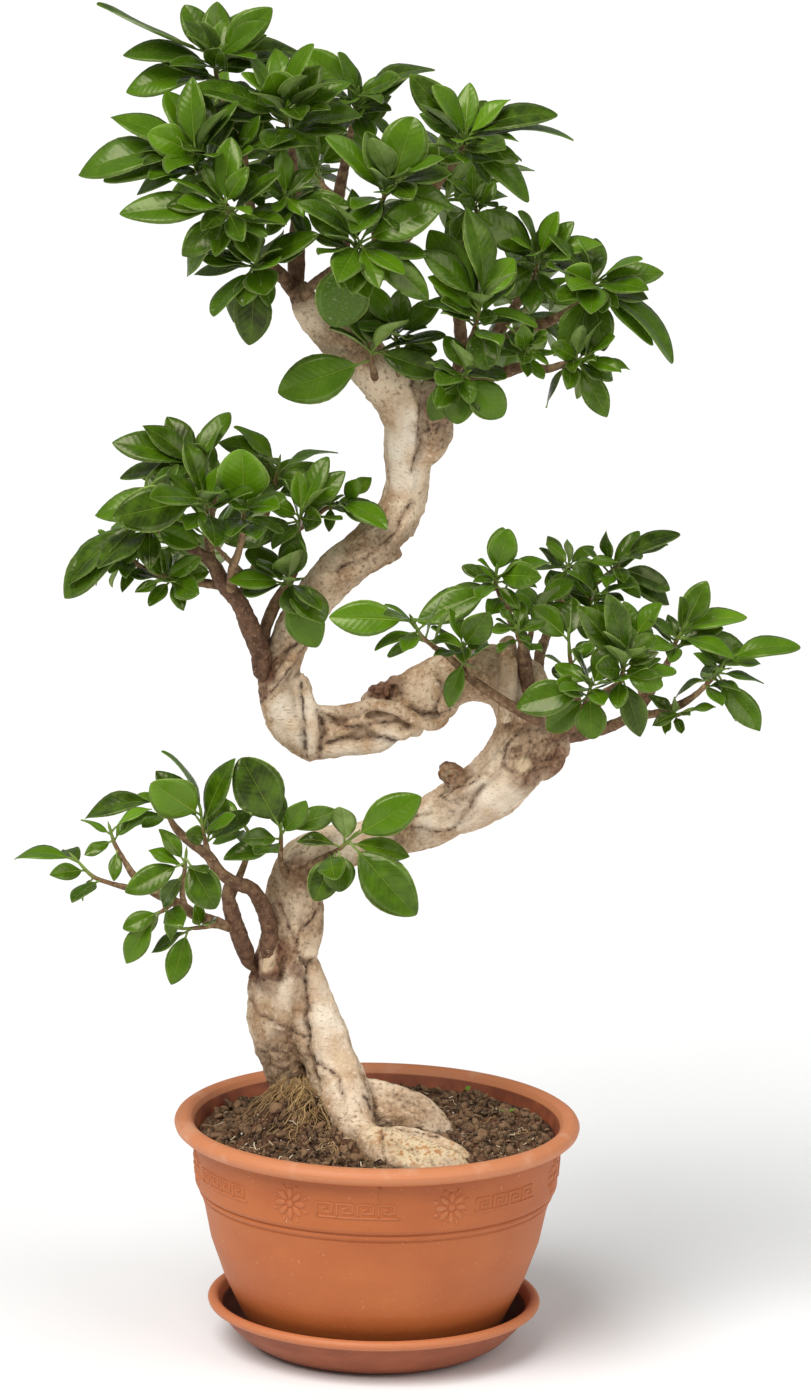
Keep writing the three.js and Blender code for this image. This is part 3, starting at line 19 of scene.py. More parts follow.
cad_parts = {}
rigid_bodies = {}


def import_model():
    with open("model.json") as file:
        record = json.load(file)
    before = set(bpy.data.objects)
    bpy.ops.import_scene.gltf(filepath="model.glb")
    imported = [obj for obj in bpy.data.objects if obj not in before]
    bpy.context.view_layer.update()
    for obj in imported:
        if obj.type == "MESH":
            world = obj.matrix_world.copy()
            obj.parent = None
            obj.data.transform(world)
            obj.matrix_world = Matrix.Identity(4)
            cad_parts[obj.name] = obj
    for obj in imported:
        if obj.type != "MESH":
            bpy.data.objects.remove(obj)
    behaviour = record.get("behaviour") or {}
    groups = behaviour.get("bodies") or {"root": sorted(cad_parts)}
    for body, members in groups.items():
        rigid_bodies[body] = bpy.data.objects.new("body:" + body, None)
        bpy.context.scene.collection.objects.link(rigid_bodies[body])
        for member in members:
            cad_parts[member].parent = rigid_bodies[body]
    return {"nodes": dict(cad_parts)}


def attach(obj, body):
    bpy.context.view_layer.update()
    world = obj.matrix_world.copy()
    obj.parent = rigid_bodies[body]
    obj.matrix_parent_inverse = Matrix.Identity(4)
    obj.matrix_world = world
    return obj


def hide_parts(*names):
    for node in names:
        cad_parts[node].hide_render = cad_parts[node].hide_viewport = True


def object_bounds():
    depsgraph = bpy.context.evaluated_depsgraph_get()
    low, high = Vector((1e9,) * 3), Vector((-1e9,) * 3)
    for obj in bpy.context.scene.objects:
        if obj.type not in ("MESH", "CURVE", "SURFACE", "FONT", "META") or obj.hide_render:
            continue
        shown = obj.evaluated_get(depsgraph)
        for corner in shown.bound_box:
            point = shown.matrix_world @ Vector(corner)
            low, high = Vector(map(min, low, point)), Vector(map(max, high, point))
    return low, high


for leftover in list(bpy.data.objects):
    bpy.data.objects.remove(leftover)
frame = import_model()
cad_low, cad_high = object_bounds()
MM = 0.001
print("frame box in mm:", [round(v / MM, 1) for v in (*cad_low, *cad_high)])

# %% [markdown]
# ## Meshes from arrays
#
# Leaves, bark and soil come in hundreds of thousands of points, too many for Blender's mesh tools
# to place one at a time. Here numpy works out the points in millimetres, and one function hands the
# arrays to Blender. Another function says where a piece belongs: all of it rides on the one body.

# %% Mesh helpers
def mesh_piece(name, points, faces, material=None):
    """A smooth-shaded mesh object; faces is a list of arrays, each of faces with the same sides."""
    mesh = bpy.data.meshes.new(name)
    corners = np.concatenate([np.asarray(group).ravel() for group in faces])
    sides = np.concatenate([np.full(len(group), group.shape[1]) for group in faces])
    mesh.vertices.add(len(points))
    mesh.vertices.foreach_set("co", (np.asarray(points, float) * MM).ravel())
    mesh.loops.add(len(corners))
    mesh.loops.foreach_set("vertex_index", corners.astype(np.int32))
    mesh.polygons.add(len(sides))
    starts = np.concatenate([[0], np.cumsum(sides)[:-1]])
    mesh.polygons.foreach_set("loop_start", starts.astype(np.int32))
    mesh.update(calc_edges=True)
    mesh.shade_smooth()
    piece = bpy.data.objects.new(name, mesh)
    bpy.context.scene.collection.objects.link(piece)
    if material:
        mesh.materials.append(material)
    return piece


def paint(piece, name, *columns):
    """Stores up to four numbers for each point, which a material reads by name."""
    values = np.ones((len(piece.data.vertices), 4), np.float32)
    for number, column in enumerate(columns):
        values[:, number] = column
    layer = piece.data.attributes.new(name, "FLOAT_COLOR", "POINT")
    layer.data.foreach_set("color", values.ravel())


def dress(piece, slot, *nodes):
    """The piece rides on the plant and stands for these nodes; slot is not used."""
    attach(piece, "root")
    if nodes:
        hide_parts(*nodes)
    return piece


def ring_faces(rows, sides, start=0):
    """The four-sided faces between rows of points that run round a tube."""
    row, side = np.meshgrid(np.arange(rows - 1), np.arange(sides), indexing="ij")
    low = start + row * sides
    following = (side + 1) % sides
    quads = np.stack([low + side, low + following, low + sides + following, low + sides + side], -1)
    return quads.reshape(-1, 4)


def unit(vectors):
    return vectors / np.maximum(np.linalg.norm(vectors, axis=-1, keepdims=True), 1e-9)


# %% [markdown]
# ## The photographer's standpoint
#
# The photograph was taken from far off with a long lens, a little above the rim and leaning by one
# degree. The camera takes that place. Lengths read off the picture lie on the plane through the
# trunk, and a point at another depth is slid along its sight line, as a surveyor would do it.

# %% Camera
EYE = np.array([12.5, -5000.0, 1570.0])
PITCH_DOWN = 13.08
LEAN = 1.1
LENS = 216.8
SENSOR = 36

camera_data = bpy.data.cameras.new("camera")
camera_data.sensor_fit = "VERTICAL"
camera_data.sensor_height = SENSOR
camera_data.sensor_width = SENSOR
camera_data.lens = LENS
camera_data.clip_end = 100
camera = bpy.data.objects.new("camera", camera_data)
tilt = Matrix.Rotation(math.radians(90 - PITCH_DOWN), 4, "X")
camera.matrix_world = Matrix.Translation(EYE * MM) @ tilt @ Matrix.Rotation(math.radians(LEAN), 4, "Z")
bpy.context.scene.collection.objects.link(camera)
bpy.context.scene.camera = camera


def at(rows):
    """Rows of [x, z, depth, ...] as points: x and z as seen on the plane of the trunk."""
    rows = np.asarray(rows, float)
    x, z, depth = rows[..., 0], rows[..., 1], rows[..., 2]
    t = depth / -EYE[1]
    return np.stack([x + t * (x - EYE[0]), depth, z + t * (z - EYE[2])], -1)


# %% [markdown]
# ## Floor and light
#
# The plant stands on a white sweep in plain soft studio light. The floor is a plain pale plane, wide
# enough that no horizon shows. An even sky takes the place of the white walls. The key light comes
# from the upper left and a weaker one from the right. Both are sun lamps with a wide disc: their
# shadows are as soft as those of large lamp boxes, and they light all of the floor evenly.

# %% Studio
def hex_linear(code):
    """An sRGB hex colour as the linear numbers that a shader takes."""
    parts = [int(code[i:i + 2], 16) / 255 for i in (1, 3, 5)]
    linear = [v / 12.92 if v <= 0.04045 else ((v + 0.055) / 1.055) ** 2.4 for v in parts]
    return (*linear, 1.0)


def fill(tree, node, inputs):
    """Links or fills a node's inputs; a hex colour is turned linear on the way."""
    for key, value in inputs.items():
        if isinstance(value, bpy.types.NodeSocket):
            tree.links.new(value, node.inputs[key])
        else:
            node.inputs[key].default_value = hex_linear(value) if isinstance(value, str) else value


def add_node(tree, kind, inputs=None, **settings):
    """Adds a node, gives it its settings, and links or fills its inputs."""
    node = tree.nodes.new(kind)
    for key, value in settings.items():
        setattr(node, key, value)
    fill(tree, node, inputs or {})
    return node


def new_material(name):
    """An empty material with its shader, output and node tree."""
    material = bpy.data.materials.new(name)
    material.use_nodes = True
    tree = material.node_tree
    tree.nodes.clear()
    shader = add_node(tree, "ShaderNodeBsdfPrincipled")
    add_node(tree, "ShaderNodeOutputMaterial", {"Surface": shader.outputs[0]})
    return material, tree, shader


FLOOR_HALF = 40000
floor_paint, tree, shader = new_material("floor_paint_white")
fill(tree, shader, {"Base Color": "#F4F4F3", "Roughness": 0.9})
corners = np.array([[-1, -1, 0], [1, -1, 0], [1, 1, 0], [-1, 1, 0]]) * FLOOR_HALF
floor = mesh_piece("floor", corners, [np.array([[0, 1, 2, 3]])], floor_paint)

world = bpy.data.worlds.new("white_room")
world.use_nodes = True
world.node_tree.nodes["Background"].inputs["Color"].default_value = (1, 1, 1, 1)
world.node_tree.nodes["Background"].inputs["Strength"].default_value = 0.3
bpy.context.scene.world = world
bpy.context.scene.view_settings.view_transform = "Standard"


def soft_lamp(name, around, height, disc, strength):
    """A wide sun lamp: its compass angle from the viewer, height and disc in degrees."""
    lamp = bpy.data.lights.new(name, "SUN")
    lamp.angle = math.radians(disc)
    lamp.energy = strength
    holder = bpy.data.objects.new(name, lamp)
    holder.rotation_euler = (math.radians(90 - height), 0, math.radians(around))
    bpy.context.scene.collection.objects.link(holder)


soft_lamp("lamp_left", -35, 52, 40, 3.0)
soft_lamp("lamp_right", 55, 35, 45, 0.9)
# %% [markdown]
# ## The grown wood
#
# The trunk grew as one piece: two legs that meet and bend into an S, aerial roots that fused with
# it, roots that spread over the soil, and short branches with twigs. Sculpting it by hand would
# lose the frame's exact places. So each limb is a row of stations along its middle,
# [x, z, depth, radius], the rows from which the frame was built, here and there moved by a few mm.
# Rows that the frame leaves out, such as the fine cords round the trunk, are listed apart, and so
# are four shoots called rightFill, which fill the inside of the right pad.

# %% Routes of the wood
LIMBS = {
    "leftLeg": [
        [-44, 112, 22, 11], [-46, 135, 20, 12], [-47, 160, 17, 12.5], [-53, 171, 14, 15.5],
        [-57.5, 185, 11, 16.5], [-61.5, 200, 9, 18.5], [-63.5, 220, 7, 18.5], [-63, 235, 6, 17],
        [-58, 252, 5, 16], [-53, 270, 4, 16], [-53, 290, 2, 17], [-47, 305, 0, 15.5], [-35, 312, -2, 14],
        [-17, 317, -3, 13], [0, 322, -4, 13], [25, 331, -4, 15], [52, 345, -3, 18], [77, 367, 0, 20],
        [88, 394, 4, 19], [75, 423, 8, 19], [50, 426, 10, 17], [25, 413, 10, 18], [0, 397, 8, 15],
        [-25, 388, 5, 14.5], [-45, 385, 3, 15], [-60, 397, 2, 13], [-64.5, 420, 2, 12.5],
        [-58, 445, 3, 11.5], [-47, 465, 4, 13], [-30, 487, 5, 14], [-8, 507, 5, 14], [6, 525, 4, 14],
        [11, 545, 3, 13.5], [11, 565, 2, 14], [12, 580, 1, 15], [5, 597, 0, 16], [-5, 608, -1, 15.5],
        [-18, 621, -2, 14], [-35, 634, -4, 12.5], [-50, 648, -6, 10], [-57, 662, -7, 7],
    ],
    "rightLeg": [
        [-13, 108, -40, 11], [-13, 132, -37, 13], [-17, 150, -30, 14], [-21, 165, -22, 14.5],
        [-26, 180, -14, 13.5], [-32, 200, -9, 11], [-39, 225, -4, 8], [-47, 246, -1, 7], [-53, 264, -2, 4],
    ],
    "rightFork": [
        [-8, 610, 0, 13], [-17, 628, 3, 11], [-21, 642, 6, 8.5], [-24, 654, 8, 7], [-27, 668, 9, 6],
    ],
}

ROOTS = {
    "fin": [[-20, 168, -14, 5], [-4, 163, -12, 5.5], [14, 158, -14, 6], [30, 150, -17, 6],
        [40, 140, -20, 5.5], [46, 122, -22, 4]],
    "front": [[-14, 138, -40, 9], [-2, 130, -52, 8], [12, 126, -64, 7.5], [30, 122, -74, 6.5],
        [48, 118, -80, 5], [62, 104, -84, 3.5]],
    "frontTwo": [[2, 131, -50, 6], [16, 133, -52, 5.5], [34, 130, -56, 5], [52, 122, -62, 4],
        [64, 108, -66, 3]],
    "leftFan": [[-52, 166, 8, 6], [-59, 154, -8, 4], [-68, 138, -24, 2.6], [-78, 120, -36, 1.8],
        [-82, 106, -40, 1.4]],
    "leftFanTwo": [[-50, 163, 2, 6], [-53, 148, -18, 3.6], [-58, 132, -36, 2.4], [-64, 116, -50, 1.8],
        [-66, 104, -56, 1.4]],
    "back": [[-46, 158, 22, 7], [-42, 148, 40, 6], [-36, 136, 58, 5], [-30, 118, 66, 3.5]],
}

STRANDS = {
    "bendCord": [[-51, 424, -9, 1.6], [-45, 402, -13, 4], [-43.5, 385, -13.5, 4], [-45, 374, -10, 4],
        [-45, 371, -3, 3.4]],
    "bendSlant": [[-73, 403, -6, 3], [-66, 417, -12, 3.6], [-57, 433, -12, 3.6], [-49, 447, -7, 3]],
    "twistTop": [[-46, 400, -9, 4], [-24, 401, -12, 4.2], [-6, 405, -12, 4.2], [9, 402, -12.5, 4.4],
        [20, 395, -11, 4.2], [31, 393, -7, 4], [37, 399, 2, 4]],
    "archCord": [[74, 447, -4, 5], [75, 432, -12, 6], [74.5, 415, -14.5, 6], [73, 397, -14, 5]],
    "knob": [[52, 349, -6, 9], [46, 357, -9, 8.5], [40, 364, -11, 7], [36, 366, -12, 5.5]],
    "turnCord": [[34, 344, -16, 3], [50, 353, -18.5, 3.8], [66, 366, -19, 4], [80, 388, -15, 3.5]],
    "necks": [[-30, 495, -2, 6], [-16, 496, -7, 6.5], [0, 505, -8, 6], [10, 520, -6, 4.5]],
    "ridge": [[-44, 476, -6, 4.5], [-30, 484, -9, 4.5], [-14, 488, -9, 4.5], [2, 500, -6, 4]],
    "sideKnob": [[22, 603, -4, 6], [27, 590, -6, 8], [30, 576, -6, 8.5], [26, 563, -5, 6.5],
        [18, 552, -4, 4]],
    "baseRight": [[-44, 246, -7, 5], [-42, 262, -10, 6.5], [-42, 278, -10, 6.5], [-47, 296, -8, 5]],
    "branchSwell": [[-68, 226, -8, 6], [-67, 240, -11, 8], [-67, 252, -10, 7.5], [-68, 262, -8, 5.5]],
}

BRANCHES = {
    "lowOuter": [[-79, 240, -4, 4.6], [-83, 249, -7, 5.2], [-87, 259, -9, 5.2], [-92, 275, -10, 4.8],
        [-94, 285, -11, 3.8], [-92, 293, -13, 2.8]],
    "lowInner": [[-67, 244, -9, 6.5], [-68, 262, -11, 5.5], [-73, 278, -12, 5], [-80, 288, -13, 4.6],
        [-91, 292, -13, 4], [-99, 298, -13, 3.6], [-107, 309, -12, 3.2], [-117, 316, -11, 2.8],
        [-127, 326, -10, 2.2]],
    "lowRun": [[-89, 262, -9, 3.8], [-103, 267, -14, 3.6], [-114, 271, -18, 3.4], [-127, 279, -22, 3.2],
        [-141, 286, -24, 2.8], [-151, 294, -24, 2.2]],
    "lowRise": [[-93, 280, -10, 3], [-88, 293, -5, 2.2], [-84, 304, -2, 2]],
    "midMain": [[-73, 422, -3, 7], [-76, 436, -6, 6.5], [-82, 450, -8, 6], [-91, 469, -10, 5.5],
        [-100, 480, -11, 5], [-107, 492, -12, 4], [-117, 499, -13, 3.4], [-128, 505, -14, 2.8],
        [-137, 510, -15, 2.2]],
    "midFork": [[-74, 430, -2, 4], [-74, 448, 1, 4], [-67, 468, 5, 3.6], [-59, 482, 6, 3.2],
        [-53, 500, 6, 2.6], [-55, 513, 4, 2.2]],
    "midLow": [[-98, 477, -9, 3], [-113, 479, -10, 2.8], [-126, 480, -11, 2.6], [-139, 483, -12, 2.3],
        [-148, 487, -13, 2]],
    "midUp": [[-95, 475, -12, 3.2], [-94, 488, -16, 2.6], [-90, 500, -19, 2.2], [-88, 511, -20, 1.9]],
    "midBack": [[-91, 470, -10, 3.2], [-84, 480, 4, 2.8], [-79, 495, 12, 2.4], [-77, 510, 18, 2]],
    "midTall": [[-105, 489, -12, 3], [-109, 505, -4, 2.6], [-107, 522, 2, 2.2], [-106, 533, 4, 2]],
    "rightRise": [[90, 398, -2, 6], [87, 417, -8, 4.6], [84, 437, -10, 4], [82, 452, -10, 3.2],
        [76, 459, -9, 2.8], [71, 470, -9, 2.2]],
    "rightBack": [[96, 396, 10, 6], [94, 412, 16, 4.6], [93, 432, 22, 3.6], [98, 452, 28, 3],
        [104, 470, 32, 2.4], [108, 484, 34, 2]],
    "rightLow": [[96, 386, -2, 6], [108, 391, -6, 4], [119, 396, -10, 3.4], [128, 406, -14, 3],
        [134, 415, -17, 2.6], [142, 421, -20, 2.2]],
    "rightFar": [[100, 388, 2, 6], [114, 388, 6, 4.6], [128, 391, 8, 4], [145, 398, 8, 3.4],
        [158, 410, 6, 3], [165, 424, 4, 2.6], [172, 436, 2, 2]],
    "rightEnd": [[150, 401, 8, 3], [165, 403, 4, 2.6], [182, 410, -2, 2.4], [190, 416, -4, 2]],
    "rightFront": [[94, 397, -13, 4], [75, 407, -26, 3.2], [64, 414, -28, 3], [54, 421, -28, 2.8],
        [39, 435, -26, 2.2]],
    "crownLeft": [[-57, 658, -6, 6.5], [-65, 667, -8, 5], [-77, 677, -11, 4.2], [-86, 688, -13, 3.8],
        [-95, 702, -15, 3.2], [-105, 715, -17, 2.6], [-112, 726, -18, 2]],
    "crownLeftUp": [[-80, 680, -8, 3.6], [-84, 698, -2, 3.2], [-88, 720, 2, 2.8], [-92, 745, 4, 2.5],
        [-98, 764, 4, 2.3], [-103, 776, 3, 2]],
    "crownMid": [[-56, 655, -2, 6], [-58, 680, 2, 5], [-58, 705, 0, 4], [-60, 728, -4, 3],
        [-62, 745, -8, 2.2]],
    "crownMidBack": [[-26, 660, 10, 5.5], [-30, 685, 16, 4.6], [-34, 712, 18, 3.8], [-30, 738, 16, 3],
        [-27, 756, 12, 2.2]],
    "crownFront": [[-55, 655, -8, 4], [-48, 664, -20, 3.2], [-38, 672, -32, 2.8], [-31, 678, -40, 2.2]],
    "crownRoot": [[-27, 655, 8, 6], [-14, 668, 6, 5], [-2, 682, 2, 4.4], [10, 698, -2, 3.8],
        [20, 716, -4, 3.2], [30, 733, -6, 2.6], [37, 742, -6, 2]],
    "crownNear": [[-10, 672, 2, 3.6], [-10, 688, -8, 3], [-11, 702, -16, 2.4], [-9, 710, -20, 2]],
    "lobeLow": [[10, 588, 4, 7], [20, 600, 2, 5.5], [32, 607, 0, 4.8], [48, 610, -2, 4.4],
        [64, 611, -4, 4], [80, 616, -6, 3.2], [94, 615, -8, 2.6], [104, 618, -9, 2]],
    "lobeStem": [[34, 607, 0, 4], [41, 616, -10, 3.2], [45, 626, -16, 2.6], [49, 635, -20, 2]],
    "lobeMid": [[46, 610, 0, 4.4], [56, 624, 6, 4], [66, 640, 8, 3.6], [76, 656, 6, 3], [84, 668, 4, 2.2]],
    "lobeRight": [[64, 632, 6, 3.6], [84, 640, 2, 3.2], [102, 648, -2, 2.8], [116, 658, -4, 2]],
    "lobeHigh": [[40, 609, -1, 4.4], [42, 630, 14, 4], [40, 655, 18, 3.4], [44, 680, 18, 2.8],
        [50, 700, 16, 2]],
}

# %% Finer strands and roots
FINE_STRANDS = {
    "legWeb": [[-50, 240, -4, 8], [-49, 222, -3, 8.5], [-47, 205, -2.5, 9], [-40, 186, -4, 8],
        [-34, 170, -6, 9], [-32, 154, -8, 9], [-30, 138, -8, 8]],
    "finFill": [[-18, 160, -13, 8], [-2, 155, -14, 8], [16, 150, -16, 7.5], [30, 143, -19, 6.5],
        [38, 137, -20, 5]],
    "frontFill": [[-4, 132, -54, 7], [10, 129, -62, 7.5], [26, 125, -68, 7], [42, 120, -72, 6],
        [54, 113, -76, 4.5]],
    "frontFillLow": [[-8, 130, -56, 7], [4, 123, -68, 7], [18, 117, -78, 6.5], [32, 112, -86, 5.5],
        [44, 105, -90, 4]],
    "frontShelf": [[4, 134, -44, 5], [20, 131, -50, 5], [36, 127, -54, 5], [50, 120, -58, 4]],
    "bendFill": [[-52, 420, -4, 6], [-49, 408, -6, 6], [-47, 394, -7, 6.5], [-45, 382, -6, 7]],
    "twistFill": [[-38, 392, -1.5, 8], [-18, 393, -2, 9], [4, 394, -1.5, 9], [22, 393, 0.5, 8]],
    "twistFillLow": [[-34, 383, -2, 8], [-14, 384, -3, 8.5], [4, 387, -3, 7.5]],
    "finLow": [[-2, 146, -20, 9], [12, 143, -22, 9], [26, 138, -24, 8], [36, 134, -26, 6]],
    "twistMid": [[-34, 383, -11, 3], [-24, 389, -13, 3.4], [-12, 394, -13, 3.2], [0, 388, -13, 3.6],
        [12, 386, -10, 3.6], [18, 391, -6, 3]],
    "twistLow": [[-40, 376, -8, 5], [-22, 378, -10, 6], [-4, 381, -8, 6.5], [8, 388, -5, 5]],
    "neckWrap": [[-46, 481, -4, 3], [-36, 484, -9, 3.6], [-24, 486, -10.5, 3.8], [-10, 491, -10.5, 3.8],
        [0, 496, -8, 3.8], [7, 500, -3, 3.2]],
    "wrapOver": [[27, 430, 0, 4], [33, 415, -9, 4], [38, 400, -9, 4], [44, 410, -8, 4]],
    "turnEdge": [[98, 362, -2, 3.5], [104, 370, -4, 6], [108, 380, -1, 5.5], [100, 400, 2, 5]],
    "crater": [[12, 334, -14, 3.5], [20, 328, -16.5, 4.5], [32, 332, -17, 3.5]],
    "scarTop": [[-13, 406, 0, 4], [-3, 412, 2, 6], [8, 418, 4, 6], [15, 422, 6, 3.5]],
    "smallStub": [[-3, 386, 2, 3.5], [-3, 378, 1, 2.5], [-3, 375, 1, 2]],
    "upperRidge": [[8, 610, -10, 3.5], [14, 596, -13, 3.5], [16, 580, -13.5, 3], [13, 556, -11, 3],
        [13, 540, -10, 2.5]],
    "baseRidge": [[-60, 200, -10, 5], [-57, 222, -12, 5.5], [-54, 240, -11, 6], [-52, 258, -11, 6],
        [-50, 276, -12, 6], [-52, 292, -12, 5], [-56, 303, -9, 4]],
    "knot": [[-50, 238, -12, 4.5], [-50, 237, -17, 4]],
    "finWeb": [[-20, 150, -14, 7], [-4, 147, -13, 7], [14, 144, -16, 6], [28, 136, -19, 5]],
    "frontEnd": [[28, 118, -78, 6.5], [40, 115, -82, 6.5], [52, 111, -82, 5], [60, 106, -80, 3.5]],
    "frontLow": [[-8, 126, -54, 6], [4, 118, -74, 6], [22, 113, -88, 5], [40, 106, -94, 3.5]],
    "leftFanThree": [[-44, 158, 2, 5], [-44, 144, -20, 3.2], [-46, 130, -38, 2.2], [-50, 116, -52, 1.6],
        [-52, 106, -58, 1.5]],
    "backLeft": [[-52, 160, 20, 6], [-66, 150, 34, 5], [-78, 138, 44, 4], [-86, 118, 48, 3]],
}

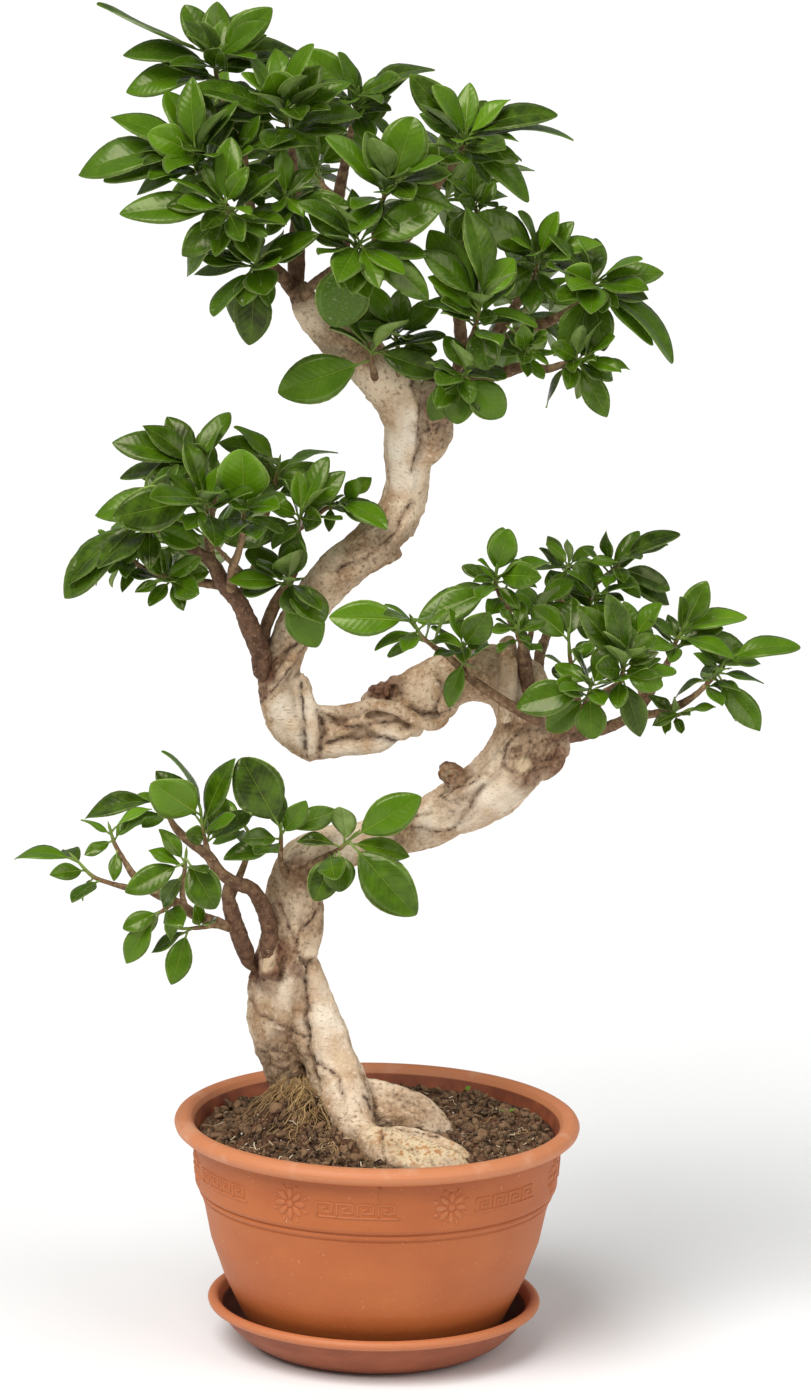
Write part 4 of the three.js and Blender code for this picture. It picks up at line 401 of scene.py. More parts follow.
# %% Twigs and green stems: the woody rows of each shoot, and where its green tip ends
SHOOTS = {
    "lowFar": ([[-141, 287, -24, 2.4], [-155, 287, -26, 2], [-164, 289, -27, 1.6]], [-186, 303, -27]),
    "lowMid": ([[-151, 294, -24, 2], [-157, 303, -24, 1.7], [-160, 308, -24, 1.5]], [-166, 322, -25]),
    "lowTop": ([[-127, 326, -10, 1.9], [-130, 331, -11, 1.6]], [-133, 341, -12]),
    "lowRound": ([[-106, 308, -12, 2.2], [-108, 316, -15, 1.7]], [-111, 334, -18]),
    "lowFront": ([[-120, 275, -20, 2.4], [-122, 286, -28, 1.7], [-121, 295, -32, 1.5]], [-120, 307, -35]),
    "lowUnder": ([[-127, 279, -22, 1.9], [-131, 275, -24, 1.5]], [-138, 271, -25]),
    "lowStub": ([[-91, 262, -10, 2.2], [-103, 264, -15, 1.8], [-109, 263, -17, 1.5]], [-118, 262, -19]),
    "lowUp": ([[-84, 304, -2, 1.8], [-82, 312, -1, 1.6]], [-86, 330, 2]),
    "lowRightTwig": ([[-58, 298, -12, 3.5], [-62, 307, -18, 1.8], [-62, 313, -20, 1.5]], [-62, 326, -22]),
    "lowRight": ([[-50, 298, -10, 4], [-38, 307, -24, 2.2], [-31, 311, -29, 1.7]], [-19, 321, -33]),
    "midLeftEnd": ([[-137, 510, -15, 1.9], [-141, 512, -16, 1.6]], [-150, 517, -18]),
    "midFar": ([[-148, 487, -13, 1.8], [-154, 491, -15, 1.6]], [-164, 501, -17]),
    "midLowFront": ([[-126, 480, -12, 1.9], [-130, 480, -15, 1.5]], [-137, 480, -20]),
    "midTop": ([[-106, 533, 4, 1.8], [-108, 538, 2, 1.5]], [-117, 552, -4]),
    "midFront": ([[-107, 500, -12, 2.2], [-108, 513, -20, 1.7], [-109, 519, -23, 1.5]], [-112, 531, -28]),
    "midUpFront": ([[-88, 511, -20, 1.7], [-88, 516, -21, 1.5]], [-87, 526, -24]),
    "midRight": ([[-55, 513, 4, 1.9], [-54, 516, -1, 1.6]], [-53, 524, -10]),
    "midTopRight": ([[-77, 510, 18, 2], [-73, 525, 14, 1.7], [-70, 538, 11, 1.5]], [-67, 553, 8]),
    "midFarRight": ([[-55, 513, 4, 2], [-46, 520, 2, 1.7], [-40, 525, 0, 1.5]], [-24, 530, -4]),
    "midHeart": ([[-60, 480, 5, 2.4], [-60, 481, -5, 1.7], [-60, 481, -11, 1.5]], [-62, 479, -20]),
    "rightFrontTip": ([[39, 435, -26, 2.2], [29, 442, -27, 1.7]], [16, 458, -30]),
    "rightFrontMid": ([[54, 421, -26, 2.2], [51, 427, -29, 1.6], [49, 432, -31, 1.4]], [47, 442, -34]),
    "rightRiseTip": ([[71, 470, -9, 2], [68, 476, -11, 1.6]], [66, 488, -14]),
    "rightRiseMid": ([[84, 437, -10, 2.6], [83, 443, -17, 1.7], [81, 447, -20, 1.4]], [80, 455, -23]),
    "rightLowMid": ([[119, 396, -10, 2.6], [121, 406, -19, 1.8], [123, 411, -22, 1.5]], [125, 420, -26]),
    "rightLowTip": ([[142, 421, -20, 2], [143, 424, -22, 1.6]], [146, 437, -25]),
    "rightBackTip": ([[108, 484, 34, 2], [108, 488, 30, 1.7]], [110, 493, 16]),
    "rightTopTip": ([[104, 470, 32, 2.4], [118, 478, 26, 2], [130, 486, 19, 1.7], [135, 490, 16, 1.5]],
        [142, 498, 12]),
    "rightFarTip": ([[172, 436, 2, 2], [174, 442, 0, 1.7]], [180, 455, -3]),
    "rightEndTip": ([[190, 416, -4, 2], [195, 421, -5, 1.6]], [206, 437, -6]),
    "rightHook": ([[165, 403, 4, 2.6], [172, 402, 0, 1.8], [176, 402, -2, 1.5]], [182, 404, -4]),
    "crownLeftTop": ([[-103, 776, 3, 2.1], [-105, 781, 2, 1.7]], [-108, 804, -2]),
    "crownLeftTip": ([[-112, 726, -18, 2], [-114, 730, -19, 1.7]], [-120, 742, -22]),
    "crownLeftLow": ([[-95, 702, -15, 3], [-97, 704, -23, 1.9], [-98, 705, -27, 1.6]], [-102, 711, -33]),
    "crownLeftHang": ([[-77, 677, -11, 4], [-80, 676, -20, 2], [-81, 675, -24, 1.6]], [-84, 673, -30]),
    "crownLeftMid": ([[-88, 720, 2, 3], [-92, 727, -8, 2], [-94, 731, -13, 1.6]], [-96, 742, -18]),
    "crownMidTop": ([[-62, 745, -8, 2.2], [-63, 750, -10, 1.8]], [-67, 772, -16]),
    "crownMidLow": ([[-58, 705, 0, 3.4], [-61, 709, -11, 2], [-63, 711, -17, 1.6]], [-66, 718, -24]),
    "crownTop": ([[-27, 756, 12, 2.2], [-26, 761, 9, 1.8]], [-23, 780, 0]),
    "crownRootTip": ([[37, 742, -6, 2.1], [39, 746, -7, 1.7]], [42, 755, -9]),
    "crownNearTip": ([[-9, 710, -20, 2], [-8, 713, -22, 1.6]], [-1, 727, -28]),
    "crownFrontTip": ([[-31, 678, -40, 2], [-28, 681, -43, 1.7]], [-20, 690, -48]),
    "neckTwig": ([[-9, 606, -12, 3], [-11, 613, -19, 1.9], [-12, 617, -21, 1.5]], [-12, 624, -23]),
    "neckTwigHigh": ([[3, 600, -10, 3.4], [4, 613, -12, 1.9], [4, 620, -12, 1.6]], [0, 638, -16]),
    "lobeFrontTip": ([[49, 635, -20, 2], [50, 639, -21, 1.7]], [53, 654, -24]),
    "lobeHang": ([[32, 607, 0, 4.4], [37, 608, -10, 2], [40, 609, -15, 1.6]], [46, 612, -22]),
    "lobeLowTip": ([[104, 618, -9, 2], [107, 619, -10, 1.7]], [118, 622, -12]),
    "lobeLowMid": ([[80, 616, -6, 3], [80, 620, -14, 1.8], [80, 622, -18, 1.5]], [82, 630, -23]),
    "lobeRightTip": ([[116, 658, -4, 2], [118, 661, -5, 1.7]], [121, 669, -8]),
    "lobeMidTip": ([[84, 668, 4, 2.2], [85, 672, 2, 1.8]], [88, 684, -4]),
    "lobeHighTip": ([[50, 700, 16, 2], [50, 704, 15, 1.7]], [47, 716, 11]),
    "crownBackLeft": ([[-88, 720, 2, 3], [-91, 722, 8, 2.4], [-96, 727, 14, 2], [-100, 731, 18, 1.6]],
        [-108, 744, 29]),
    "crownBackMid": ([[-34, 712, 18, 3.4], [-36, 716, 22, 2.6], [-41, 722, 27, 2], [-44, 726, 31, 1.6]],
        [-50, 740, 42]),
    "crownBackRight": ([[10, 698, -2, 3.4], [15, 702, 6, 2.6], [22, 708, 13, 2], [26, 712, 17, 1.6]],
        [34, 726, 28]),
    "lobeBack": ([[66, 640, 8, 3.4], [68, 643, 12, 2.6], [72, 646, 16, 2], [75, 648, 19, 1.6]],
        [84, 657, 30]),
    "rightFillHeart": ([[119, 396, -10, 2.8], [117, 412, -10, 2], [114, 426, -9, 1.6]], [111, 448, -9]),
    "rightFillBack": ([[84, 437, -10, 2.8], [87, 447, -5, 2], [89, 456, -1, 1.6]], [91, 469, 3]),
    "rightFillFar": ([[158, 410, 6, 2.8], [154, 424, 3, 2], [152, 434, 1, 1.6]], [151, 450, -4]),
    "rightFillTop": ([[118, 478, 26, 1.9], [121, 475, 20, 1.7], [123, 474, 16, 1.5]], [126, 477, 8]),
    "midBackTip": ([[-84, 480, 4, 2.8], [-89, 486, 9, 2.3], [-96, 493, 15, 1.9], [-100, 497, 18, 1.6]],
        [-110, 510, 30]),
}

# %% [markdown]
# ## From routes to round limbs
#
# A branch has no flat sides and no corners. A curve object with a bevel could give it a round
# section, but not the join with its neighbours. Here a smooth curve is drawn through the stations,
# and a ring of points is carried along it without twisting. The branches fan out in depth by the
# frame's own rule, since the rows alone would make the tree flat.

# %% Smooth limbs
FAN = 1.3
FAN_START, FAN_END = 8, 45
TRUNK_LINE = np.array([row[:2] for limb in LIMBS.values() for row in limb], float)


def fanned(rows):
    rows = np.array(rows, float)
    away = np.linalg.norm(rows[:, None, :2] - TRUNK_LINE[None], axis=-1).min(axis=1)
    t = np.clip((away - FAN_START) / (FAN_END - FAN_START), 0, 1)
    rows[:, 2] *= 1 + FAN * t * t * (3 - 2 * t)
    return rows


def smooth_route(points, values, step):
    """A smooth curve through the points, in steps of about that many mm, and the values along it."""
    points = np.asarray(points, float)
    t = np.concatenate([[0], np.cumsum(np.linalg.norm(np.diff(points, axis=0), axis=1))])
    slopes = np.gradient(points, t, axis=0)
    s = np.linspace(0, t[-1], max(round(t[-1] / step), 2) + 1)
    k = np.clip(np.searchsorted(t, s, side="right") - 1, 0, len(t) - 2)
    h = (t[k + 1] - t[k])[:, None]
    u = (s - t[k])[:, None] / h
    rise, fall = u * u * (3 - 2 * u), (1 - u) ** 2 * (1 + 2 * u)
    place = fall * points[k] + rise * points[k + 1]
    place += h * (u * (1 - u) ** 2 * slopes[k] - u * u * (1 - u) * slopes[k + 1])
    return place, np.interp(s, t, values), s


def sections(path):
    """Two directions across the path at each of its points, carried along without a twist."""
    ahead = unit(np.gradient(path, axis=0))
    side = np.cross(ahead[0], (0.3, 1, 0.2) if abs(ahead[0][1]) < 0.8 else (1, 0, 0))
    sides = []
    for direction in ahead:
        side = unit(side - direction * side.dot(direction))
        sides.append(side)
    sides = np.array(sides)
    return sides, np.cross(ahead, sides), ahead


def tube(path, radii, sides):
    """The points and faces of a closed round tube with domed ends."""
    across, over, ahead = sections(path)
    angle = np.arange(sides) / sides * 2 * math.pi
    ring = np.cos(angle)[:, None] * across[:, None] + np.sin(angle)[:, None] * over[:, None]
    body = path[:, None] + np.asarray(radii)[:, None, None] * ring
    ends = [path[0] - ahead[0] * radii[0] * 0.6, path[-1] + ahead[-1] * radii[-1] * 0.6]
    points = np.concatenate([body.reshape(-1, 3), ends])
    first = np.arange(sides)
    last = first + sides * (len(path) - 1)
    foot = np.stack([np.roll(first, -1), first, np.full(sides, len(points) - 2)], -1)
    head = np.stack([last, np.roll(last, -1), np.full(sides, len(points) - 1)], -1)
    return points, ring_faces(len(path), sides), np.concatenate([foot, head])


def gathered(parts):
    """Several (points, quads, triangles) as one, with the point numbers moved on."""
    start = 0
    points, quads, triangles = [], [], []
    for one, four, three in parts:
        points.append(one)
        quads.append(four + start)
        triangles.append(three + start)
        start += len(one)
    return np.concatenate(points), np.concatenate(quads), np.concatenate(triangles)


TRUNK_STEP = 3
TRUNK_ROUND = 28
thick_rows = [*LIMBS.values(), *ROOTS.values(), *STRANDS.values(), *FINE_STRANDS.values()]
limb_lines = []
for rows in thick_rows:
    rows = np.asarray(rows, float)
    limb_lines.append(smooth_route(at(rows), rows[:, 3], TRUNK_STEP))
thick_parts = [tube(path, radii, TRUNK_ROUND) for path, radii, _ in limb_lines]
print(len(thick_parts), "thick limbs")

# %% [markdown]
# ## One skin of bark
#
# Where two roots meet on a real fig the bark has grown over the seam. Joining the tubes with a
# boolean would leave a knife-sharp crease, so a voxel remesh wraps them all in one even skin, and
# a few rounds of smoothing fill the creases as growth does. The voxel is 1.5 mm: finer would cost
# too many faces, coarser would lose the cords.

# %% Remesh and smooth
VOXEL = 1.5


def remeshed(parts, voxel):
    """The tubes wrapped in one skin of small square faces: its points and quads."""
    points, quads, triangles = gathered(parts)
    rough = mesh_piece("rough", points, [quads, triangles])
    wrap = rough.modifiers.new("wrap", "REMESH")
    wrap.mode = "VOXEL"
    wrap.voxel_size = voxel * MM
    graph = bpy.context.evaluated_depsgraph_get()
    skin = rough.evaluated_get(graph).to_mesh()
    place = np.empty(len(skin.vertices) * 3, np.float32)
    skin.vertices.foreach_get("co", place)
    index = np.empty(len(skin.polygons) * 4, np.int32)
    skin.polygons.foreach_get("vertices", index)
    bpy.data.objects.remove(rough)
    return place.reshape(-1, 3).astype(float) / MM, index.reshape(-1, 4)


def edges_of(quads):
    pairs = np.concatenate([quads[:, [k, (k + 1) % 4]] for k in range(4)])
    return np.unique(np.sort(pairs, axis=1), axis=0)


def smoothed(values, edges, rounds, amount=0.6):
    """Each value moves toward the mean of its neighbours, that many times."""
    size = len(values)
    both = np.concatenate([edges, edges[:, ::-1]])
    count = np.maximum(np.bincount(both[:, 0], minlength=size), 1)
    values = np.array(values, float).reshape(size, -1)
    for _ in range(rounds):
        for k in range(values.shape[1]):
            mean = np.bincount(both[:, 0], values[both[:, 1], k], size) / count
            values[:, k] += amount * (mean - values[:, k])
    return values


def normals_of(points, quads):
    cross = np.cross(points[quads[:, 2]] - points[quads[:, 0]], points[quads[:, 3]] - points[quads[:, 1]])
    total = np.zeros_like(points)
    for k in range(3):
        total[:, k] = sum(np.bincount(quads[:, c], cross[:, k], len(points)) for c in range(4))
    return unit(total)


bark_points, bark_quads = remeshed(thick_parts, VOXEL)
bark_edges = edges_of(bark_quads)
bark_points = smoothed(bark_points, bark_edges, 3)
print("bark skin:", len(bark_points), "points,", 2 * len(bark_quads), "triangles")

# %% [markdown]
# ## Bark relief
#
# Fig bark is thin and smooth, but it shows how the roots fused: flutes run along each limb, fine
# wrinkles run across it, and deep seams stay where two roots only touch. A texture could only paint
# them, and the side of the trunk would still be straight against the white. So the skin itself is
# moved, by smooth random numbers worked out in space. Along a limb they use the limb's own
# coordinates, so that the flutes follow every bend.

# %% Random relief
def grain(points, size, seed=0):
    """Smooth random numbers from -1 to 1 in space, whose bumps are about that many mm apart."""
    place = np.asarray(points) / size + 11.7 * seed
    cell = np.floor(place).astype(np.int64)
    part = place - cell
    part = part * part * (3 - 2 * part)
    total = np.zeros(len(place))
    for corner in range(8):
        step = np.array([(corner >> k) & 1 for k in range(3)])
        x, y, z = (cell + step).T
        key = (x * 73856093) ^ (y * 19349663) ^ (z * 83492791)
        key = (key ^ (key >> 13)) * 1274126177
        number = ((key ^ (key >> 16)) & 0xFFFF) / 32768 - 1
        total += number * np.where(step, part, 1 - part).prod(axis=1)
    return total


def layered(points, size, layers=3, seed=0):
    """Grain at that size, with finer and weaker grain on top."""
    return sum(grain(points, size / 2 ** k, seed + k) / 2 ** k for k in range(layers))


def nearest(places, points):
    """For each point, the number of the nearest place."""
    tree = KDTree(len(places))
    for number, place in enumerate(places):
        tree.insert(place, number)
    tree.balance()
    return np.array([tree.find(point)[1] for point in points])


LIMB_APART = 700  # mm between the numbers of one limb and the next
core, core_along, core_radius, core_frames = [], [], [], []
for number, (path, radii, along) in enumerate(limb_lines):
    core.append(path)
    core_along.append(along + number * LIMB_APART)
    core_radius.append(radii)
    core_frames.append(np.stack(sections(path), 1))
core, core_along = np.concatenate(core), np.concatenate(core_along)
core_radius, core_frames = np.concatenate(core_radius), np.concatenate(core_frames)


def limb_coordinates(points):
    """Across, over and along the nearest limb, in mm, and that limb's radius."""
    spot = nearest(core, points)
    local = np.einsum("nij,nj->ni", core_frames[spot], points - core[spot])
    local[:, 2] += core_along[spot]
    return local, core_radius[spot]


# %% [markdown]
# The seams, cracks and patches were read off the photograph one by one. They are lines and spots in
# the picture's plane, cut only into the side that faces the viewer.

# %% Seams and patches
SEAMS = {
    "legSeam": [[-43, 243], [-46, 232], [-44, 218], [-44, 203], [-42, 187], [-39, 177], [-35, 167]],
    "leftLegCrack": [[-80, 220], [-76, 210], [-65, 204], [-56, 200], [-50, 197], [-43, 195]],
    "collarLeft": [[-63, 279], [-59, 271], [-56, 262], [-52, 253]],
    "collarRight": [[-38, 280], [-43, 270], [-49, 260], [-51, 251], [-46, 238]],
    "legTwist": [[-39, 179], [-30, 174], [-24, 168], [-22, 157]],
    "legFoot": [[-8, 158], [-3, 151], [2, 143]],
    "finFoot": [[-1, 142], [10, 138], [22, 136], [37, 133]],
    "finTop": [[-9, 172], [-6, 160], [-1, 150], [4, 140]],
    "frontRise": [[2, 137], [3, 126], [6, 114]],
    "branchFoot": [[-80, 250], [-80, 236], [-71, 230], [-61, 231], [-60, 242]],
    "longCrack": [[17, 329], [30, 325], [43, 328], [53, 342], [60, 355]],
    "splitCrack": [[35, 348], [49, 356], [62, 363]],
    "craterRim": [[12, 329], [19, 335], [30, 337]],
    "turn": [[86, 394], [76, 383], [73, 368], [79, 364]],
    "back": [[32, 425], [35, 414], [30, 402]],
    "arch": [[15, 405], [24, 399], [39, 402], [45, 409]],
    "bendLeft": [[-51, 418], [-50, 400], [-49.5, 385], [-48, 372]],
    "bendRight": [[-41, 400], [-37.5, 390], [-37, 380], [-40, 371]],
    "slantLow": [[-76, 405], [-66, 414], [-53, 434], [-48, 443]],
    "slantHigh": [[-78, 423], [-71, 427], [-61, 437], [-53, 444]],
    "twist": [[-38, 398], [-20, 391], [0, 395], [14, 392]],
    "twistLow": [[-34, 380], [-16, 385], [2, 384], [12, 379]],
    "neck": [[-30, 488], [-14, 496], [4, 512], [14, 532]],
    "upper": [[12, 606], [17, 590], [18, 568], [13, 548]],
}
# Rows of [x, z, depth, reach, strength]
ROUGH_PATCHES = [
    [-60, 172, -4, 24, 0.8], [-66, 243, -14, 14, 0.9], [-42, 268, -14, 16, 0.5], [90, 374, -10, 20, 0.9],
    [102, 392, 0, 16, 0.8], [58, 424, -8, 20, 0.35], [0, 411, 0, 13, 1.0], [-6, 500, -8, 24, 0.5],
    [28, 578, -8, 14, 0.8], [-76, 434, -8, 16, 0.9], [-30, 636, -10, 18, 0.6], [12, 330, -14, 12, 0.7],
    [-48, 292, -10, 20, 0.4], [46, 345, -18, 14, 0.5], [20, 145, -24, 30, 0.45], [-20, 395, -12, 22, 0.3],
]
CUT_PATCHES = [
    [-69.5, 251, -17, 6.4, 1], [-69.5, 246, -17, 6.4, 1], [-69.5, 241, -17, 6.4, 1], [85, 369, -19, 6, 1],
]
CRUMBLED_PATCHES = [
    [-3, 413, -1, 13, 1], [-60, 170, -6, 16, 0.35], [102, 376, -4, 12, 0.5], [38, 366, -17, 9, 0.4],
]
OCHRE_PATCHES = [
    [28, 128, -80, 20, 0.8], [6, 134, -62, 16, 0.6], [52, 124, -74, 16, 0.7], [-52, 152, -20, 22, 0.6],
    [37, 367, -18, 9, 0.3],
]
# Rows of [x, z, depth, reach, strength], where the bark is smooth and creamy
CREAM_PATCHES = [
    [-33, 205, -20, 17, 0.75], [-26, 182, -24, 17, 0.65], [-37, 228, -14, 11, 0.8],
    [-19, 162, -34, 12, 0.5], [-60, 226, -12, 16, 0.45], [-56, 400, -10, 15, 1],
    [-50, 384, -12, 13, 0.9], [-58, 420, -10, 12, 0.7],
    [6, 566, -14, 16, 1], [4, 548, -14, 13, 1], [28, 334, -14, 16, 0.7], [0, 322, -10, 16, 0.6],
    [60, 372, -18, 11, 0.8], [68, 350, -18, 22, 0.9], [0, 376, -10, 14, 0.8], [20, 380, -6, 12, 0.5],
    [74, 420, -14, 12, 0.7], [44, 336, -18, 14, 0.8], [-24, 374, -14, 14, 0.8], [8, 584, -14, 12, 0.7],
    [-20, 318, -14, 14, 0.7],
]
# Rows of [x, z, depth, reach, strength], where brown bark runs down from a branch
BROWN_PATCHES = [
    [-79, 238, -6, 15, 1], [-68, 248, -16, 14, 1], [-66, 236, -18, 9, 0.9], [-74, 425, -6, 13, 1],
    [-74, 412, -6, 8, 0.8], [92, 398, -2, 12, 0.5], [98, 388, 2, 14, 0.7], [104, 372, -2, 14, 0.8],
    [94, 366, -14, 12, 0.55], [40, 366, -12, 12, 1], [26, 592, -8, 12, 0.8], [-56, 660, -6, 12, 0.9],
    [-26, 658, 8, 12, 0.9], [10, 590, 4, 10, 0.8], [-3, 413, 2, 13, 0.9], [-51, 237, -18, 6, 0.7],
    [6, 137, -62, 5, 0.5], [-50, 300, -12, 10, 0.6],
]
SEAM_WIDTH = 1.5
SEAM_WANDER = 1.6
EARTHY_TOP, EARTHY_FADE = 158, 25  # height up to which soil has stained the bark, and its fade
# How far each kind of relief stands out, in mm
TALL = {
    "flutes": 1.3, "wrinkles": 0.3, "lumps": 1.1, "scales": 1.0, "warts": 1.4, "fissures": 0.9,
    "fine": 0.35, "crumbled": 3.0, "ochre": 1.1, "seams": 0.9, "cuts": 1.2,
}


def smooth_share(share):
    """The share with a steeper middle, for patches with a clean edge."""
    return np.clip((share - 0.5) * 3 + 0.5, 0, 1)


def seen(points):
    """The points as they lie in the picture's plane: [x, z] in mm."""
    t = points[:, 1] / -EYE[1]
    return np.stack([(points[:, 0] + t * EYE[0]) / (1 + t), (points[:, 2] + t * EYE[2]) / (1 + t)], -1)


def line_distance(flat, line):
    """How far each flat point lies from a line of straight stretches."""
    best = np.full(len(flat), 1e9)
    line = np.asarray(line, float)
    for a, b in zip(line[:-1], line[1:]):
        t = np.clip((flat - a) @ (b - a) / ((b - a) @ (b - a)), 0, 1)
        best = np.minimum(best, np.linalg.norm(flat - a - t[:, None] * (b - a), axis=1))
    return best


def patch(points, rows, ragged=0.3):
    """How strongly the patches cover each point, from 0 to 1, with ragged edges."""
    cover = np.zeros(len(points))
    ragged = ragged * layered(points, 7, 3, 5)
    for row in rows:
        d = np.linalg.norm(points - at(row), axis=1) / row[3]
        cover = np.maximum(cover, row[4] * np.clip(1.6 - 1.3 * (d + ragged), 0, 1))
    return cover


# %% Cut the relief
bark_normals = normals_of(bark_points, bark_quads)
local, limb_radius = limb_coordinates(bark_points)
flat = seen(bark_points)
facing = np.clip(-bark_normals[:, 1] * 2, 0, 1)
rough = patch(bark_points, ROUGH_PATCHES)
cut = smooth_share(patch(bark_points, CUT_PATCHES, 0.12))
ochre = patch(bark_points, OCHRE_PATCHES)
cream = patch(bark_points, CREAM_PATCHES)
brown = patch(bark_points, BROWN_PATCHES)
earthy = np.clip((EARTHY_TOP - bark_points[:, 2]) / EARTHY_FADE, 0, 1)

wander = flat + SEAM_WANDER * np.stack([grain(bark_points, 6, 7), grain(bark_points, 6, 8)], -1)
seam_distance = np.min([line_distance(wander, line) for line in SEAMS.values()], axis=0)
seam_distance = np.where(facing > 0.15, seam_distance, 99)
seam = np.exp(-(seam_distance / SEAM_WIDTH) ** 2) * facing

small = np.clip(limb_radius / 14, 0.25, 1)
scaly = np.maximum(rough, 0.7 * brown)
flutes = layered(local * (1, 1, 0.16), 8, 3, 1)
wrinkles = layered(local * (0.3, 0.3, 1), 3.4, 2, 2)
lumps = layered(bark_points, 16, 3, 3)
warts = np.clip(layered(bark_points, 4.2, 2, 4) - 0.25, 0, 1)
split = layered(local * (1, 1, 0.3), 5, 2, 6)
fissure = np.exp(-(split / 0.08) ** 2) * scaly
crumbled = patch(bark_points, CRUMBLED_PATCHES)
relief = TALL["flutes"] * flutes + TALL["wrinkles"] * wrinkles + TALL["lumps"] * lumps
relief *= small * (1 - 0.8 * cut)
relief += scaly * (TALL["scales"] * layered(bark_points, 5, 2, 9) + TALL["warts"] * warts)
relief += (1 - cream) * TALL["fine"] * layered(bark_points, 4, 2, 12)
relief += crumbled * TALL["crumbled"] * layered(bark_points, 4, 2, 14)
relief += ochre * TALL["ochre"] * layered(bark_points, 3.6, 2, 15)
relief -= TALL["fissures"] * fissure + TALL["seams"] * seam + TALL["cuts"] * cut
bark_points = bark_points + relief[:, None] * bark_normals

# A point that lies under the mean of its neighbourhood lies in a crevice. Crevices and fissures get painted
# shade, nearly black.
hollow = smoothed(bark_points, bark_edges, 12)
hollow_shade = np.einsum("ij,ij->i", hollow - bark_points, bark_normals)
hollow_shade = np.clip(hollow_shade / 1.6 - 0.1, 0, 1)
hollow_shade = np.maximum(hollow_shade, 0.6 * fissure)
print("relief from", round(relief.min(), 2), "to", round(relief.max(), 2), "mm")

# %% [markdown]
# ## Fig bark
#
# Living fig bark is a thin, dry, slightly waxy cork: matte, pale tan on old wood, cinnamon brown
# where it is rough, and cream where a cut has healed. Hollows, fissures and seams are painted nearly
# black as painted shade, each seam with a brown rim of painted shade. Where each colour lies was
# painted on the points with the relief, so it stays with the shape. The material only lays the
# colours over each other, and adds specks of 2.4 mm and pores of 0.8 mm, which are finer than the
# mesh.

# %% Bark material
BARK_PORE = 0.8
BARK_SPECK = 2.4
SEAM_MOST = 10      # mm from a seam beyond which nothing is coloured
SEAM_RAGGED = 4.4   # mm by which noise moves a seam's edge


def pattern(tree, size, detail=3.0, stretch=(1, 1, 1)):
    """A soft random pattern in the object's own space, with a spot about every so many mm."""
    place = add_node(tree, "ShaderNodeTexCoord").outputs["Object"]
    if stretch != (1, 1, 1):
        place = add_node(tree, "ShaderNodeMapping", {0: place, 3: stretch}).outputs[0]
    settings = {0: place, "Scale": 1 / (size * MM), "Detail": detail}
    return add_node(tree, "ShaderNodeTexNoise", settings).outputs[0]


def coat(tree, under, over, where, low=0.0, high=1.0, most=1.0):
    """One colour laid over another, thicker as the pattern goes from low to high, up to most."""
    share = add_node(tree, "ShaderNodeMapRange", {0: where, 1: low, 2: high, 4: most}).outputs[0]
    return add_node(tree, "ShaderNodeMix", {0: share, 6: under, 7: over}, data_type="RGBA").outputs[2]


def painted(tree, name):
    """The four painted numbers of a point: red, green, blue and alpha."""
    layer = add_node(tree, "ShaderNodeAttribute", attribute_name=name)
    split = add_node(tree, "ShaderNodeSeparateColor", {0: layer.outputs["Color"]})
    return (*split.outputs[:3], layer.outputs["Alpha"])


def finish(tree, shader, colour, height, depth, constants):
    """Gives the shader its colour, a bump that is so many mm deep, and its constants."""
    bump = add_node(tree, "ShaderNodeBump", {"Height": height, "Distance": depth * MM, "Strength": 1.0})
    fill(tree, shader, {"Base Color": colour, "Normal": bump.outputs[0], **constants})


fig_bark, tree, shader = new_material("fig_bark")
hollow_shade_share, rough_share, cut_share, ochre_share = painted(tree, "bark")
seam_mm, cream_share, brown_share, _ = painted(tree, "bark_zones")
pore = pattern(tree, BARK_PORE, 3)
speck = pattern(tree, BARK_SPECK, 6)
cloud = pattern(tree, 20, 5)
dash = pattern(tree, 4, 4, (1, 1, 3.6))
chalk = pattern(tree, 4.5, 6)

tan = coat(tree, "#EBD3B5", "#BD9A76", cloud, 0.38, 0.62)
tan = coat(tree, tan, "#80603F", speck, 0.43, 0.36, 0.6)
tan = coat(tree, tan, "#F3E2C6", speck, 0.58, 0.68, 0.7)
smooth = coat(tree, "#F2E3CE", "#DFC6A6", cloud, 0.4, 0.7)
smooth = coat(tree, smooth, "#9C7A58", dash, 0.6, 0.66, 0.6)
scaly = coat(tree, "#4A3022", "#A88664", speck, 0.34, 0.62)
scaly = coat(tree, scaly, "#D8BE98", pore, 0.6, 0.68, 0.7)
reddish = coat(tree, "#4B2C20", "#8E6248", speck, 0.35, 0.65)
warm = coat(tree, "#E2CCA4", "#B58045", chalk, 0.52, 0.6)
warm = coat(tree, warm, "#86623F", chalk, 0.44, 0.36, 0.8)

colour = coat(tree, tan, smooth, cream_share)
colour = coat(tree, colour, scaly, rough_share)
colour = coat(tree, colour, reddish, brown_share)
colour = coat(tree, colour, warm, ochre_share)
colour = coat(tree, colour, "#D9BE9A", cut_share)
# Painted shade: hollows and fissures darkened nearly to black
colour = coat(tree, colour, "#3A2417", hollow_shade_share)

# Noise moves the seam's edge by up to half of its range either way
ragged = {0: pattern(tree, 3.5, 4), 1: SEAM_RAGGED, 2: seam_mm}
seam_shade_edge = add_node(tree, "ShaderNodeMath", ragged, operation="MULTIPLY_ADD").outputs[0]
middle = SEAM_RAGGED / 2
# Painted shade: a brown rim beside each seam, and a nearly black line of shade in it
colour = coat(tree, colour, "#6E4E34", seam_shade_edge, middle + 2.6, middle + 0.4, 0.5)
colour = coat(tree, colour, "#36221A", seam_shade_edge, middle + 0.5, middle + 0.05, 0.75)
colour = coat(tree, colour, "#5A4230", pore, 0.64, 0.7, 0.45)
height = add_node(tree, "ShaderNodeMath", {0: speck, 1: pore}, operation="ADD").outputs[0]
finish(tree, shader, colour, height, 0.9, {"Roughness": 0.8, "Specular IOR Level": 0.3})

